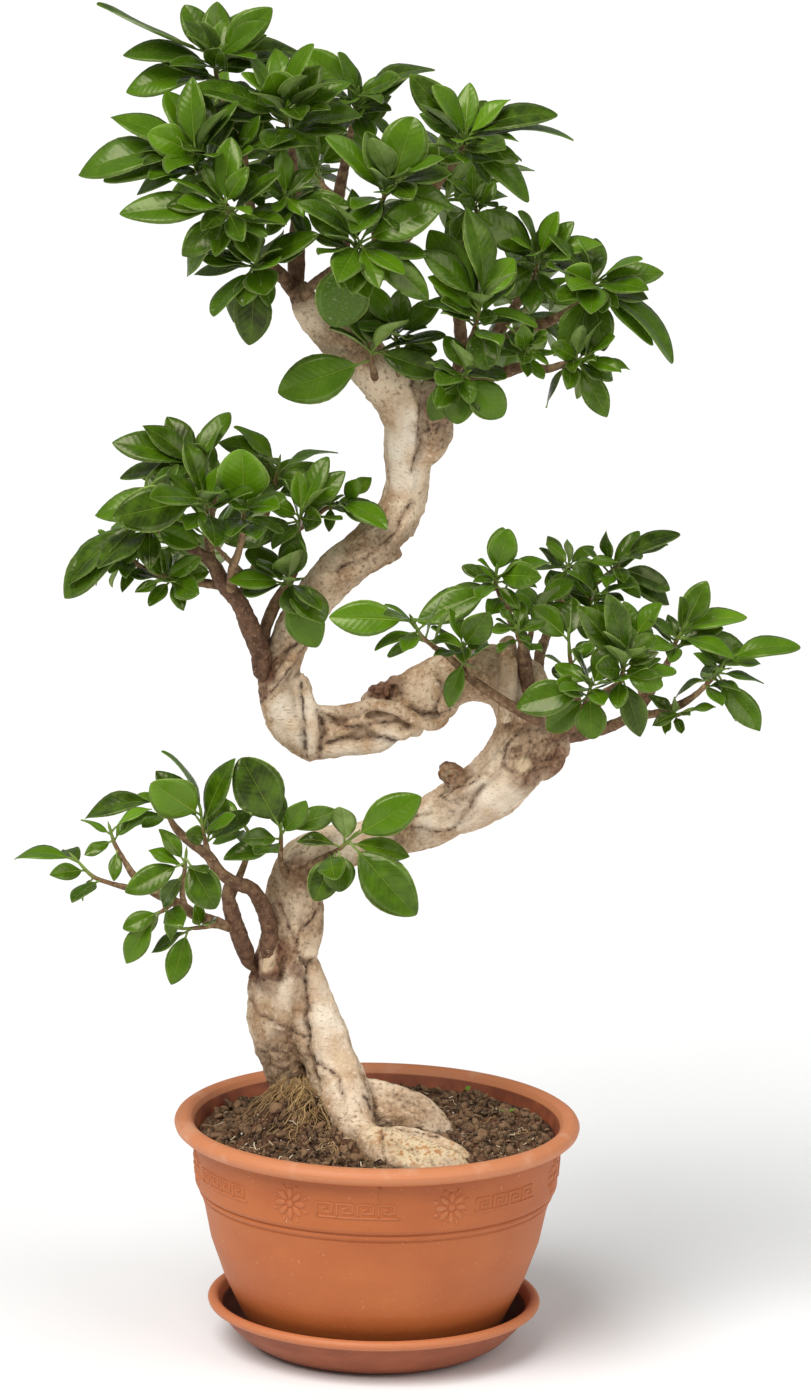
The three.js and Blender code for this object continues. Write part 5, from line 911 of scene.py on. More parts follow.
trunk = mesh_piece("trunk_skin", bark_points, [bark_quads], fig_bark)
paint(trunk, "bark", hollow_shade, np.maximum(rough, 0.6 * earthy), cut, ochre)
paint(trunk, "bark_zones", np.clip(seam_distance, 0, SEAM_MOST), cream * (1 - rough), brown)
dress(trunk, "bark", "trunk")

# %% [markdown]
# ## Branches and twigs
#
# The pads hang on brown branches from 14 mm down to 3 mm thick. The voxels of the trunk would chew
# up the thin ones, so they stay clean tubes and start deep in the trunk. Each is knobbly: a fig
# keeps a ring-shaped scar on the twig at every leaf it drops, about every 7 mm.

# %% Branch tubes
SCAR_SPACING = 7
SCAR_WIDTH = 0.9
THICK_FOOT = 3.4    # a branch whose foot is thicker than that grows out of the trunk's middle
TRUNK_REACH = 30
INWARD = 0.35       # where in the trunk such a branch starts, as a share of the way to its foot

branch_rows = [list(map(list, rows)) for rows in BRANCHES.values()]
for woody, _ in SHOOTS.values():
    carrier = [rows for rows in branch_rows if rows[-1][:3] == woody[0][:3]]
    if carrier:
        carrier[0].extend(map(list, woody[1:]))
    else:
        branch_rows.append(list(map(list, woody)))

twig_parts, thin_shares = [], []
trunk_line = np.concatenate([path for path, _, _ in limb_lines[:len(LIMBS)]])
for rows in branch_rows:
    rows = fanned(rows)
    places = at(rows)
    thick = rows[0, 3] > THICK_FOOT
    inner = trunk_line[np.linalg.norm(trunk_line - places[0], axis=1).argmin()]
    if thick and np.linalg.norm(inner - places[0]) < TRUNK_REACH:
        places = np.concatenate([[inner + INWARD * (places[0] - inner)], places])
        rows = np.concatenate([rows[:1], rows])
    path, radii, along = smooth_route(places, rows[:, 3], 1.8)
    scar = np.exp(-((along % SCAR_SPACING - SCAR_SPACING / 2) / SCAR_WIDTH) ** 2)
    flare = 1 - 0.4 * np.exp(-(along / 12) ** 2) * thick
    knobbly = 1 + 0.08 * layered(path, 11, 2, 20) + 0.07 * scar
    sides = 12 if radii.max() > 3.5 else 9
    points, quads, triangles = tube(path, radii * flare * knobbly, sides)
    nearby = np.concatenate([np.repeat(radii, sides), radii[[0, -1]]])
    middles = np.concatenate([np.repeat(path, sides, axis=0), path[[0, -1]] + 1e-3])
    wrinkle = 0.11 * np.sqrt(nearby) * layered(points, 4.5, 2, 21)
    points = points + wrinkle[:, None] * unit(points - middles)
    twig_parts.append((points, quads, triangles))
    thin_shares.append(np.clip(1 - nearby / 5, 0, 1))

twig_bark, tree, shader = new_material("twig_bark")
thin_share, *_ = painted(tree, "twig")
speck = pattern(tree, 4, 6)
old = coat(tree, "#503627", "#7E5D46", speck, 0.35, 0.68)
young = coat(tree, "#75593E", "#AF946C", speck, 0.4, 0.65)
colour = coat(tree, old, young, thin_share)
colour = coat(tree, colour, "#CBB08A", pattern(tree, 1.1, 2), 0.66, 0.72, 0.8)
finish(tree, shader, colour, speck, 0.2, {"Roughness": 0.78, "Specular IOR Level": 0.3})

points, quads, triangles = gathered(twig_parts)
branches = mesh_piece("branches", points, [quads, triangles], twig_bark)
paint(branches, "twig", np.concatenate(thin_shares))
dress(branches, "bark")
print(len(branch_rows), "branches and twigs,", 2 * len(quads) + len(triangles), "triangles")

# %% [markdown]
# ## Reading the leaves off the frame
#
# Each leaf of the frame is a wedge of eight corners: its foot in the stem, two rings of three and
# its tip. Placing 300 leaves again by hand would be slow, and they would miss their places. A tip is
# easy to find: it is the only corner with three long edges. From the tip and the lower ring the
# leaf's foot, axis, upper face, length, width and arch follow, because the ring lies at a known
# share of its length. A shoot that the frame doesn't have starts with no leaves.

# %% Leaf places
WEDGE_LOW = 0.4     # where the lower ring lies, as a share of the leaf's length
WEDGE_WIDE = 0.93   # the lower ring's width against the leaf's
WEDGE_TOP = 0.3     # how far the ring's corners stand over the leaf's middle, in mm
STALK_HALF = 0.6
SHORT_EDGE = 4      # a tip's three edges are longer than that


def corner_points(name):
    """A node's corners in mm, each listed once, and its triangles."""
    mesh = frame["nodes"][name].data
    place = np.empty(len(mesh.vertices) * 3, np.float32)
    mesh.vertices.foreach_get("co", place)
    micrometres = np.round(place.reshape(-1, 3).astype(float) * 1e6).astype(np.int64)
    corners, back = np.unique(micrometres, axis=0, return_inverse=True)
    mesh.calc_loop_triangles()
    triangles = np.empty(len(mesh.loop_triangles) * 3, np.int32)
    mesh.loop_triangles.foreach_get("vertices", triangles)
    return corners / 1000, back.ravel()[triangles].reshape(-1, 3)


def keel_of(ring):
    """The middle between a ring's two far corners, their half distance, and the way up."""
    gaps = [np.linalg.norm(ring[k] - ring[k - 1]) for k in range(3)]
    k = int(np.argmax(gaps))
    middle = (ring[k] + ring[k - 1]) / 2
    rise = middle - ring[(k + 1) % 3]
    return middle, gaps[k] / 2, rise / np.linalg.norm(rise)


def leaves_of(name):
    """The leaves of a node: foot, axis, up, length, half width and arch."""
    corners, triangles = corner_points(name)
    near = [set() for _ in corners]
    for a, b, c in triangles:
        near[a] |= {b, c}
        near[b] |= {a, c}
        near[c] |= {a, b}
    found = []
    for number, friends in enumerate(near):
        tip = corners[number]
        if len(friends) != 3 or min(np.linalg.norm(corners[f] - tip) for f in friends) < SHORT_EDGE:
            continue
        ring = set().union(*(near[f] for f in friends)) - friends - {number}
        if len(ring) != 3:
            continue
        middle, half, up = keel_of(corners[sorted(ring)])
        span = (tip - middle) - up * np.dot(tip - middle, up)
        length = np.linalg.norm(span) / (1 - WEDGE_LOW)
        axis = unit(span)
        foot = tip - axis * length
        bow = np.dot(middle - foot, up) - WEDGE_TOP
        arch = bow / (4 * WEDGE_LOW * (1 - WEDGE_LOW) * length)
        found.append([foot, axis, up, length, (half - STALK_HALF) / WEDGE_WIDE, arch])
    return found


shoot_leaves = {name: leaves_of(name) if name in frame["nodes"] else [] for name in SHOOTS}
lengths = [leaf[3] for leaves in shoot_leaves.values() for leaf in leaves]
print(len(lengths), "leaves, from", round(min(lengths)), "to", round(max(lengths)), "mm long")

# %% [markdown]
# ## Green stems
#
# A shoot ends in a green stem that carries the leaves and closes in a pointed bud. It starts at the
# end of its twig, and bends toward its tip as the frame's stem does.

# %% Stems
STEM_RADIUS = 1.5
STEM_TAPER = [1, 0.9, 0.6]
SEAT_GAP = 0.3


def stem_of(name):
    """The stem's three stations, from just past the twig's end to its tip."""
    woody, tip = SHOOTS[name]
    wood = at(fanned(woody))
    tip = at(fanned([tip]))[0]
    along = unit(wood[-1] - wood[-2])
    foot = wood[-1] + along * (SEAT_GAP + 0.1)
    bend = foot + along * np.linalg.norm(tip - foot) * 0.4
    return np.array([foot, bend + 0.2 * (tip - bend), tip])


stems = {name: stem_of(name) for name in SHOOTS}
gaps = [min(np.linalg.norm(smooth_route(stems[name], [1, 1, 1], 0.5)[0] - leaf[0], axis=1).min()
            for leaf in leaves) for name, leaves in shoot_leaves.items() if leaves]
print("leaf feet lie within", round(max(gaps), 2), "mm of their stems")

# %% [markdown]
# ## More leaves
#
# The frame holds only the main leaves, about five to a shoot. A fig shoot bears two or three times
# as many, each turned by the golden angle from the last, and the lower ones stand out wider. New
# leaves are tried at random round each stem. One stays if it keeps clear of the wood and the leaves
# so far, if its tip lies within the outline that the main leaves give the pad, and if it is inside
# the frame's box. A shoot without main leaves takes its sizes from a model shoot.

# %% Extra leaves
GOLDEN = math.radians(137.5)
# The most new leaves on a shoot, by the pad that its name starts with
MOST_EXTRA = {"low": 2, "mid": 8, "right": 8, "crown": 14, "lobe": 12, "neck": 4}
TRIES = 200
LEAF_GAP = 5.2
WOOD_GAP = 3
OUTLINE_REACH = 13
MODEL_SHOOT = "rightLowMid"
# The places along a leaf at which it is held clear
SPOT_SHARES = np.array([0.35, 0.55, 0.75, 0.97])[:, None]

growth = np.random.default_rng(7)
wood_spots, wood_radii = [core], [core_radius]
for rows in branch_rows:
    path, radii, _ = smooth_route(at(fanned(rows)), np.array(rows)[:, 3], 2.5)
    wood_spots.append(path)
    wood_radii.append(radii)
wood_spots, wood_radii = np.concatenate(wood_spots), np.concatenate(wood_radii)


def spots_of(leaf):
    """Four points along a leaf's midrib."""
    foot, axis, up, length, _, arch = leaf
    return foot + axis * length * SPOT_SHARES + up * arch * length * 4 * SPOT_SHARES * (1 - SPOT_SHARES)


taken = np.concatenate([spots_of(leaf) for leaves in shoot_leaves.values() for leaf in leaves])
fill_stems = [stems[name] for name, leaves in shoot_leaves.items() if not leaves]
main_outline = seen(np.concatenate([taken, *fill_stems]))
box_low, box_high = np.array(cad_low) / MM, np.array(cad_high) / MM


def fits(leaf):
    """Whether a new leaf keeps clear of wood and leaves, and inside the outline and the box."""
    spots = spots_of(leaf)
    if (spots < box_low).any() or (spots > box_high).any():
        return False
    if np.linalg.norm(main_outline - seen(spots[-1:]), axis=1).min() > OUTLINE_REACH:
        return False
    if (np.linalg.norm(wood_spots - spots[:, None], axis=2) - wood_radii).min() < WOOD_GAP:
        return False
    return np.linalg.norm(taken - spots[:, None], axis=2).min() > LEAF_GAP


added = 0
for name, leaves in shoot_leaves.items():
    woody, _ = SHOOTS[name]
    carrier = np.concatenate([at(fanned(woody))[-2:], stems[name]])
    route, _, along = smooth_route(carrier, np.ones(len(carrier)), 1)
    main = leaves or shoot_leaves[MODEL_SHOOT]
    span = np.mean([leaf[3] for leaf in main])
    shape = np.mean([leaf[4] / leaf[3] for leaf in main])
    turn = growth.uniform(0, 6.3)
    most = next(count for pad, count in MOST_EXTRA.items() if name.startswith(pad))
    new = []
    for _ in range(TRIES):
        turn += GOLDEN
        share = growth.uniform(0.1, 1) ** 0.7
        k = min(int(share * len(route)), len(route) - 2)
        ahead = unit(route[k + 1] - route[k])
        side = unit(np.cross(ahead, (0.3, 0.2, 1)))
        out = side * math.cos(turn) + np.cross(ahead, side) * math.sin(turn)
        lean = math.radians(growth.uniform(35, 60) + 32 * (1 - share))
        axis = unit(ahead * math.cos(lean) + out * math.sin(lean) + (0, 0, growth.uniform(-0.2, 0.25)))
        up = unit(np.array([0, -0.4, 1]) + growth.uniform(-0.35, 0.35, 3))
        up = unit(up - axis * up.dot(axis))
        length = span * growth.uniform(0.72, 1.05)
        half = length * shape * growth.uniform(0.85, 1.1)
        leaf = [route[k], axis, up, length, half, growth.uniform(0.02, 0.07)]
        if not fits(leaf):
            continue
        new.append(leaf)
        taken = np.concatenate([taken, spots_of(leaf)])
        if len(new) == most:
            break
    leaves.extend(new)
    added += len(new)
print(added, "extra leaves")

# %% [markdown]
# ## The leaf at the crown's top
#
# The highest leaf of the crown shows the viewer nothing but its edge, a thin line that curves up to
# its tip. It could be a narrower leaf, but it is as wide as the others. So its blade is turned about
# its own midrib until the line of sight lies in it.

# %% Turn one leaf
EDGE_SHOOT = "crownLeftTop"
EDGE_TIP = (-178, 830)
EDGE_ARCH = -0.025


def tip_of(leaf):
    return leaf[0] + leaf[1] * leaf[3]


thin = min(shoot_leaves[EDGE_SHOOT], key=lambda leaf: np.linalg.norm(seen(tip_of(leaf)[None]) - EDGE_TIP))
across_sight = unit(np.cross(thin[1], tip_of(thin) - EYE))
thin[2] = across_sight * np.sign(across_sight[2])
thin[5] = EDGE_ARCH
print("turned the leaf whose tip is at", np.round(tip_of(thin)))

# %% [markdown]
# ## Leaf blades
#
# A fig leaf is a leathery oval, 50 to 75 mm long and about 0.5 mm thick, on a thin stalk. It is
# folded a little along its midrib, its edge waves, and the midrib stands proud underneath. A flat
# card with a picture of a leaf would be cheap, but it has no thickness and shows from the side. Here
# a leaf is one closed tube: round in the stalk, then pressed wide and flat, and closed at the tip.
# Each point is also given its marks, the numbers that the material reads: how near it lies to the
# edge, the leaf's tone, its underside, midrib and veins, its age, and the stalk.

# %% Blade builder
STALK_SHARE = 0.15
ROWS_ALONG = np.array([0, 0.07, 0.13, 0.165, 0.2, 0.26, 0.34, 0.43, 0.53, 0.63, 0.72, 0.8, 0.87, 0.93,
                       0.97, 0.993])
MIDRIB_EDGE = 0.13
UPPER = np.array([-1, -0.7, -MIDRIB_EDGE, 0, MIDRIB_EDGE, 0.7, 1])
LOWER = np.array([0.62, MIDRIB_EDGE, 0, -MIDRIB_EDGE, -0.62])
RING = np.concatenate([UPPER, LOWER])
IS_UNDER = np.concatenate([[0.5], np.zeros(5), [0.5], np.ones(5)])
RING_ANGLE = np.concatenate([np.linspace(math.pi, 0, 7), -np.linspace(0, math.pi, 7)[1:-1]])
BLADE_THICK = 0.5
STALK_RADIUS = 0.85
VEIN_SPACING = 4.2
VEIN_SLANT = 0.85
MARKS = 7


def smooth_step(low, high, value):
    t = np.clip((value - low) / (high - low), 0, 1)
    return t * t * (3 - 2 * t)


def blade(leaf, shape):
    """One leaf's (points, quads, triangles), and the seven marks of each point."""
    foot, axis, up, length, half, arch = leaf
    fold, wave, curl, twist, tone, age = shape
    side = np.cross(axis, up)
    s = ROWS_ALONG[:, None]
    t = np.clip((s - STALK_SHARE) / (1 - STALK_SHARE), 0, 1)
    tip_power = np.interp(half / length, [0.2, 0.34], [0.76, 0.5])
    width = half * np.sin(math.pi * t) ** np.where(t < 0.5, 0.8, tip_power)
    stalk = STALK_RADIUS * (1 - 0.25 * s / STALK_SHARE)
    flat = smooth_step(0.13, 0.2, s)
    across = RING * np.maximum(width, 0) * flat + np.cos(RING_ANGLE) * stalk * (1 - flat)
    ridge = np.clip(1 - np.abs(RING) / MIDRIB_EDGE, 0, 1)
    skin = np.where(IS_UNDER == 0.5, 0, (0.5 - IS_UNDER)) * BLADE_THICK
    skin = skin - ridge * np.where(IS_UNDER == 1, 0.7, 0.15) * (1 - 0.7 * s)
    hill = np.abs(across) * math.tan(fold) * (1 - 0.45 * np.abs(RING)) * flat
    hill = hill + wave[0] * np.sin(s * wave[1] + wave[2] + 2 * np.sign(RING)) * RING ** 2 * flat
    lift = skin * flat + np.sin(RING_ANGLE) * stalk * (1 - flat) + hill
    lift = lift + arch * length * 4 * s * (1 - s) - curl * length * np.clip(s - 0.6, 0, 1) ** 2
    turn = twist * (s - 0.4)
    out = across * np.cos(turn) - lift * np.sin(turn)
    rise = across * np.sin(turn) + lift * np.cos(turn)
    along = length * s + 0 * across
    points = foot + along[..., None] * axis + out[..., None] * side + rise[..., None] * up
    tip = points[-1].mean(axis=0) + axis * length * 0.008
    points = np.concatenate([points.reshape(-1, 3), [foot - axis * 0.3, tip]])

    rows, sides = len(ROWS_ALONG), len(RING)
    first = np.arange(sides)
    last = first + sides * (rows - 1)
    foot_fan = np.stack([np.roll(first, -1), first, np.full(sides, len(points) - 2)], -1)
    tip_fan = np.stack([last, np.roll(last, -1), np.full(sides, len(points) - 1)], -1)

    midrib_half = 0.6 - 0.4 * s
    veins = (along - VEIN_SLANT * np.abs(across)) / VEIN_SPACING
    columns = [np.abs(RING), tone, IS_UNDER, np.abs(across) / midrib_half, veins, age, 1 - flat]
    marks = np.stack([column + 0 * across for column in columns], -1).reshape(-1, MARKS)
    ends = [[0, tone, 0.5, 0, 0, age, 1], [0, tone, 0.5, 0, length / VEIN_SPACING, age, 0]]
    fans = np.concatenate([foot_fan, tip_fan])
    return (points, ring_faces(rows, sides), fans), np.concatenate([marks, ends])


# %% [markdown]
# ## Leaf skin
#
# The upper side of a fig leaf has a thick clear wax over dark green cells, so it is glossy with an
# IOR of about 1.45. The midrib is pale, fine side veins leave it every 4.2 mm, the edge is a thin
# pale line, and the underside is duller and paler. Young leaves, whose age is over 1, are
# yellow-green, and old ones, near 0, are dusty. The stem's age runs from -1, woody, to 1, green.

# %% Leaf material
leaf_skin, tree, shader = new_material("waxy_leaf_skin")
edge_share, tone, under, _ = painted(tree, "leaf")
from_midrib, vein_count, age, stalk_share = painted(tree, "leaf_veins")

phase = add_node(tree, "ShaderNodeMath", {0: vein_count}, operation="FRACT").outputs[0]
off_middle = add_node(tree, "ShaderNodeMath", {0: phase, 1: 0.5}, operation="SUBTRACT").outputs[0]
from_vein = add_node(tree, "ShaderNodeMath", {0: off_middle}, operation="ABSOLUTE").outputs[0]
mottle = pattern(tree, 9, 4)
grains = add_node(tree, "ShaderNodeMapRange", {0: pattern(tree, 1.6, 5), 1: 0.6, 2: 0.68}).outputs[0]
old_share = add_node(tree, "ShaderNodeMapRange", {0: age, 1: 0.9, 2: 0.1, 4: 0.6}).outputs[0]
dust = add_node(tree, "ShaderNodeMath", {0: grains, 1: old_share}, operation="MULTIPLY").outputs[0]
midrib = add_node(tree, "ShaderNodeMapRange", {0: from_midrib, 1: 1.1, 2: 0.6}).outputs[0]
pale_share = add_node(tree, "ShaderNodeMapRange", {0: age, 1: 0.9, 2: 1.6, 3: 0.25, 4: 0.7}).outputs[0]
pale_midrib = add_node(tree, "ShaderNodeMath", {0: midrib, 1: pale_share}, operation="MULTIPLY").outputs[0]

green = coat(tree, "#1F3002", "#4A6F06", tone)
green = coat(tree, green, "#5A7E0E", mottle, 0.4, 0.7, 0.5)
green = coat(tree, "#334F12", green, age)
green = coat(tree, green, "#6B9816", age, 1.0, 2.0)
green = coat(tree, green, "#7C9A3A", from_vein, 0.07, 0.02, 0.12)
green = coat(tree, green, "#A9A283", dust)
pale = coat(tree, "#6A8634", "#8CA35C", mottle, 0.35, 0.65)
pale = coat(tree, pale, "#9DAE74", from_vein, 0.07, 0.02, 0.5)
stem_green = coat(tree, "#71893A", "#76573C", age, 0.3, -0.4)

colour = coat(tree, green, pale, under)
colour = coat(tree, colour, "#A6BE5E", edge_share, 0.93, 0.985, 0.85)
colour = coat(tree, colour, "#93AB40", pale_midrib)
colour = coat(tree, colour, stem_green, stalk_share)
gloss = add_node(tree, "ShaderNodeMapRange", {0: under, 3: 0.25, 4: 0.5}).outputs[0]
gloss = add_node(tree, "ShaderNodeMix", {0: dust, 2: gloss, 3: 0.8}).outputs[0]
cushion = add_node(tree, "ShaderNodeMapRange", {0: from_vein, 1: 0.05, 2: 0.5, 4: 0.15}).outputs[0]
quilt = {0: mottle, 1: 0.8, 2: cushion}
quilt = add_node(tree, "ShaderNodeMath", quilt, operation="MULTIPLY_ADD").outputs[0]
height = add_node(tree, "ShaderNodeMath", {0: quilt, 1: midrib}, operation="SUBTRACT").outputs[0]
wax = {"Roughness": gloss, "IOR": 1.45, "Specular IOR Level": 0.5, "Specular Tint": "#FFF6D2"}
finish(tree, shader, colour, height, 0.4, wax)

# %% [markdown]
# ## Leafy shoots
#
# Every shoot is one piece: its stem, its bud and its leaves, each slightly different. It stands for
# the frame's node of that name, where there is one. The random numbers come from one seeded source,
# so that the tree is the same in every render.

# %% Shoots
STEM_SIDES = 9
YOUNG_REACH = 12    # mm from the bud within which a leaf may be a young one
BUD_STEPS = (1.5, 3.5, 5.5, 7.5)
BUD_RADII = (1.0, 1.0, 0.65, 0.25)
chance = np.random.default_rng(12)


def random_shape(age):
    """Fold, waves, curl, twist, tone and age for one leaf."""
    wave = (chance.uniform(0.4, 1.3), chance.uniform(6, 11), chance.uniform(0, 6.3))
    return (math.radians(chance.uniform(6, 20)), wave, chance.uniform(0.0, 0.12),
            chance.uniform(-0.5, 0.5), chance.uniform(0, 1), age)


def leafy_piece(name, parts, marks):
    """The parts as one piece in the leaf's skin, with the marks painted on."""
    points, quads, triangles = gathered(parts)
    piece = mesh_piece(name, points, [quads, triangles], leaf_skin)
    columns = np.concatenate(marks).T
    paint(piece, "leaf", *columns[:3])
    paint(piece, "leaf_veins", *columns[3:])
    return piece, 2 * len(quads) + len(triangles)


def stem_marks(age):
    """The marks of a stem's points, from their ages."""
    return np.stack([0 * age, 0 * age + 0.5, 0 * age, 0 * age, 0 * age, age, 0 * age + 1], -1)


def build_shoot(name, leaves):
    """The shoot's stem, bud and leaves as one dressed piece; returns its triangles."""
    route, radii, _ = smooth_route(stems[name], STEM_RADIUS * np.array(STEM_TAPER), 1.5)
    bud_axis = unit(route[-1] - route[-3])
    route = np.concatenate([route, [route[-1] + bud_axis * step for step in BUD_STEPS]])
    parts = [tube(route, np.concatenate([radii, BUD_RADII]), STEM_SIDES)]
    marks = [stem_marks(np.concatenate([np.repeat(np.linspace(-1, 1, len(route)), STEM_SIDES), [-1, 1]]))]
    for leaf in leaves:
        down = np.linalg.norm(leaf[0] - route[-1])
        age = np.clip(1.4 - down / 60 + chance.uniform(-0.5, 0.4), 0, 1)
        if down < YOUNG_REACH and chance.uniform() < 0.2:
            age = chance.uniform(1.1, 1.7)
        part, leaf_marks = blade(leaf, random_shape(age))
        parts.append(part)
        marks.append(leaf_marks)
    piece, triangles = leafy_piece("shoot_" + name, parts, marks)
    dress(piece, "leaf", *([name] if name in frame["nodes"] else []))
    return triangles


total = sum(build_shoot(name, leaves) for name, leaves in shoot_leaves.items())
print("foliage:", total, "triangles")

# %% [markdown]
# ## The bowl
#
# The bowl is injection moulded from terracotta-coloured plastic, 250 mm across its rolled rim. A
# moulded round thing has no hard edges: each corner of the tool is broken by about half a
# millimetre. The Screw modifier could turn a profile, but here the profile's corners are rounded
# first, by sampling it finely and averaging, and then it is turned in numpy. Its floor is a solid
# disc, through which a boolean drills the four drain holes.

# %% Turned forms
def rounded(profile, amount, tolerance=0.035, longest=7):
    """The profile with its corners rounded by about that many mm, as few stations as will do."""
    profile = np.array(profile, float)
    t = np.concatenate([[0], np.cumsum(np.linalg.norm(np.diff(profile, axis=0), axis=1))])
    s = np.linspace(0, t[-1], round(t[-1] / 0.25) + 1)
    line = np.stack([np.interp(s, t, profile[:, k]) for k in (0, 1)], -1)
    for _ in range(round((amount / 0.25) ** 2 * 1.5)):
        line[1:-1] += 0.5 * (0.5 * (line[:-2] + line[2:]) - line[1:-1])
    kept = [0]
    for end in range(2, len(line)):
        start = kept[-1]
        chord = line[end] - line[start]
        between = line[start + 1:end] - line[start]
        off = np.abs(chord[0] * between[:, 1] - chord[1] * between[:, 0]) / np.linalg.norm(chord)
        if off.max() > tolerance or np.linalg.norm(chord) > longest:
            kept.append(end - 1)
    return line[[*kept, len(line) - 1]]


def turned(profile, sides):
    """The profile of [radius, height] turned round the upright axis, with a flat cap at each end."""
    angle = np.arange(sides) / sides * 2 * math.pi
    radius, height = profile[:, :1], profile[:, 1:]
    points = np.stack([radius * np.cos(angle), radius * np.sin(angle), height + 0 * angle], -1)
    caps = np.array([np.arange(sides)[::-1], np.arange(sides) + (len(profile) - 1) * sides])
    return points.reshape(-1, 3), [ring_faces(len(profile), sides), caps]


POT_FOOT, POT_FLOOR = 3.3, 8.0
POT_WALL = [[65, POT_FOOT], [78.4, 15], [86, 30], [93, 45], [101.5, 69], [105.8, 90], [107.4, 95]]
POT_BEAD = [[106.6, 96], [108.4, 97], [109.3, 98.4], [109.2, 99.8], [108.3, 100.8], [110.6, 101.8]]
POT_BAND = [[111.6, 104], [113.8, 133.6]]
POT_RIM = [[114.6, 134.4], [118, 134.4], [121.6, 135.6], [124.2, 138], [125, 140.9], [123.8, 143.6],
           [121, 145.5], [117.6, 145.8], [114.6, 144.2], [112.6, 141], [111.4, 137]]
POT_INNER = [[109.6, 131], [107.4, 102], [102, 90], [97.4, 69], [81.8, 30], [64, POT_FLOOR]]
POT_SIDES = 320
HOLE_RING, HOLE_RADIUS, HOLES = 38, 6, 4

outside = rounded(POT_WALL + POT_BEAD + POT_BAND + POT_RIM + POT_INNER, 0.45, 0.02)
foot_disc, floor_disc = [[30, POT_FOOT], [50, POT_FOOT]], [[48, POT_FLOOR], [28, POT_FLOOR]]
pot_profile = np.concatenate([foot_disc, outside, floor_disc])
print("bowl profile:", len(pot_profile), "stations")

moulded_pot, tree, shader = new_material("moulded_terracotta_plastic")
inside, lit_rim_share, shaded_foot_share, _ = painted(tree, "painted_light_and_shade")
speck = pattern(tree, 1.5, 4)
cloud = pattern(tree, 60, 5, (1, 1, 1.6))
blotch = pattern(tree, 22, 8)
colour = coat(tree, "#AB5928", "#B96730", cloud, 0.3, 0.7)
dust_and_sheen_spots = add_node(tree, "ShaderNodeMapRange", {0: blotch, 1: 0.55, 2: 0.8, 4: 0.4}).outputs[0]
dust_and_sheen = add_node(tree, "ShaderNodeMath", {0: lit_rim_share, 1: dust_and_sheen_spots}, operation="MULTIPLY").outputs[0]
# Painted light: the top of the rim is painted a lighter orange, as lit from above
colour = coat(tree, colour, "#C67C50", lit_rim_share)
# Pale patches on the rim: partly dust, partly a painted sheen
colour = coat(tree, colour, "#E0BCA2", dust_and_sheen)
# Painted shade: darker toward the foot, whose wall faces down
colour = coat(tree, colour, "#6B311D", shaded_foot_share, 0.0, 1.0, 0.75)
colour = coat(tree, colour, "#D9B79C", pattern(tree, 1.8, 2), 0.7, 0.76, 0.4)
colour = coat(tree, colour, "#8A4A2C", speck, 0.34, 0.27, 0.3)
# Painted shade: the inside wall is darker, mottled by the blotch pattern
darker_inside = coat(tree, "#7A3C22", "#A05532", blotch, 0.4, 0.65)
colour = coat(tree, colour, darker_inside, inside)
finish(tree, shader, colour, speck, 0.25, {"Roughness": 0.55, "IOR": 1.5})

points, faces = turned(pot_profile, POT_SIDES)
pot = mesh_piece("pot_body", points, faces, moulded_pot)
rim_top = np.argmax(pot_profile[:, 1])
row = np.repeat(np.arange(len(pot_profile)), POT_SIDES)
height = points[:, 2]
# The bowl's painted light and shade: shade on the inside wall, light on the rim's top, shade toward the
# foot
inner_share = np.clip((row - rim_top - 3) / 3, 0, 1) * (height < 141)
lit_rim = smooth_step(133.5, 137, height) * (1 - inner_share)
shaded_foot = smooth_step(34, 8, height) * (row < rim_top)
paint(pot, "painted_light_and_shade", inner_share, lit_rim, shaded_foot)

drill_parts = []
for k in range(HOLES):
    turn = (k + 0.5) / HOLES * 2 * math.pi
    x, y = HOLE_RING * math.cos(turn), HOLE_RING * math.sin(turn)
    drill_parts.append(tube(np.array([[x, y, -2], [x, y, 6], [x, y, 14]]), [HOLE_RADIUS] * 3, 32))
points, quads, triangles = gathered(drill_parts)
drill = mesh_piece("drill", points, [quads, triangles])
cutter = pot.modifiers.new("drain_holes", "BOOLEAN")
cutter.operation = "DIFFERENCE"
cutter.object = drill
graph = bpy.context.evaluated_depsgraph_get()
pot.data = bpy.data.meshes.new_from_object(pot.evaluated_get(graph))
pot.modifiers.clear()
bpy.data.objects.remove(drill)
dress(pot, "pot", "pot")
pot.data.calc_loop_triangles()
print("bowl:", len(pot.data.loop_triangles), "triangles")

# %% [markdown]
# ## The saucer
#
# The saucer is a deep moulded dish with a rolled lip, of the same plastic. Inside, below 26 mm, the
# faces that look up are darker, and the rolled lip has a painted highlight: it is lighter all round.
# It could be painted as the bowl is. Here heights and the way a face looks tell the material where
# the inside and the lip are, which needs no painting.

# %% Saucer
SAUCER = [[40, 0], [66, 0], [73, 2], [83, 8], [91, 16], [96, 25], [100, 24.8], [102, 26], [102.9, 28.2],
          [101.8, 30.4], [99.3, 31.2], [97, 30.4], [95.6, 28.6], [91, 20.2], [84, 12], [75, 5.6],
          [67, 3], [40, 3]]
SAUCER_SIDES = 256
moulded_saucer, tree, shader = new_material("moulded_terracotta_saucer_painted_lip_light")
place = add_node(tree, "ShaderNodeTexCoord").outputs["Object"]
height = add_node(tree, "ShaderNodeSeparateXYZ", {0: place}).outputs[2]
normal = add_node(tree, "ShaderNodeNewGeometry").outputs["Normal"]
facing_up = add_node(tree, "ShaderNodeSeparateXYZ", {0: normal}).outputs[2]
speck = pattern(tree, 1.5, 4)
cloud = pattern(tree, 30, 5, (1, 1, 3))
colour = coat(tree, "#874322", "#98502C", cloud, 0.35, 0.65)
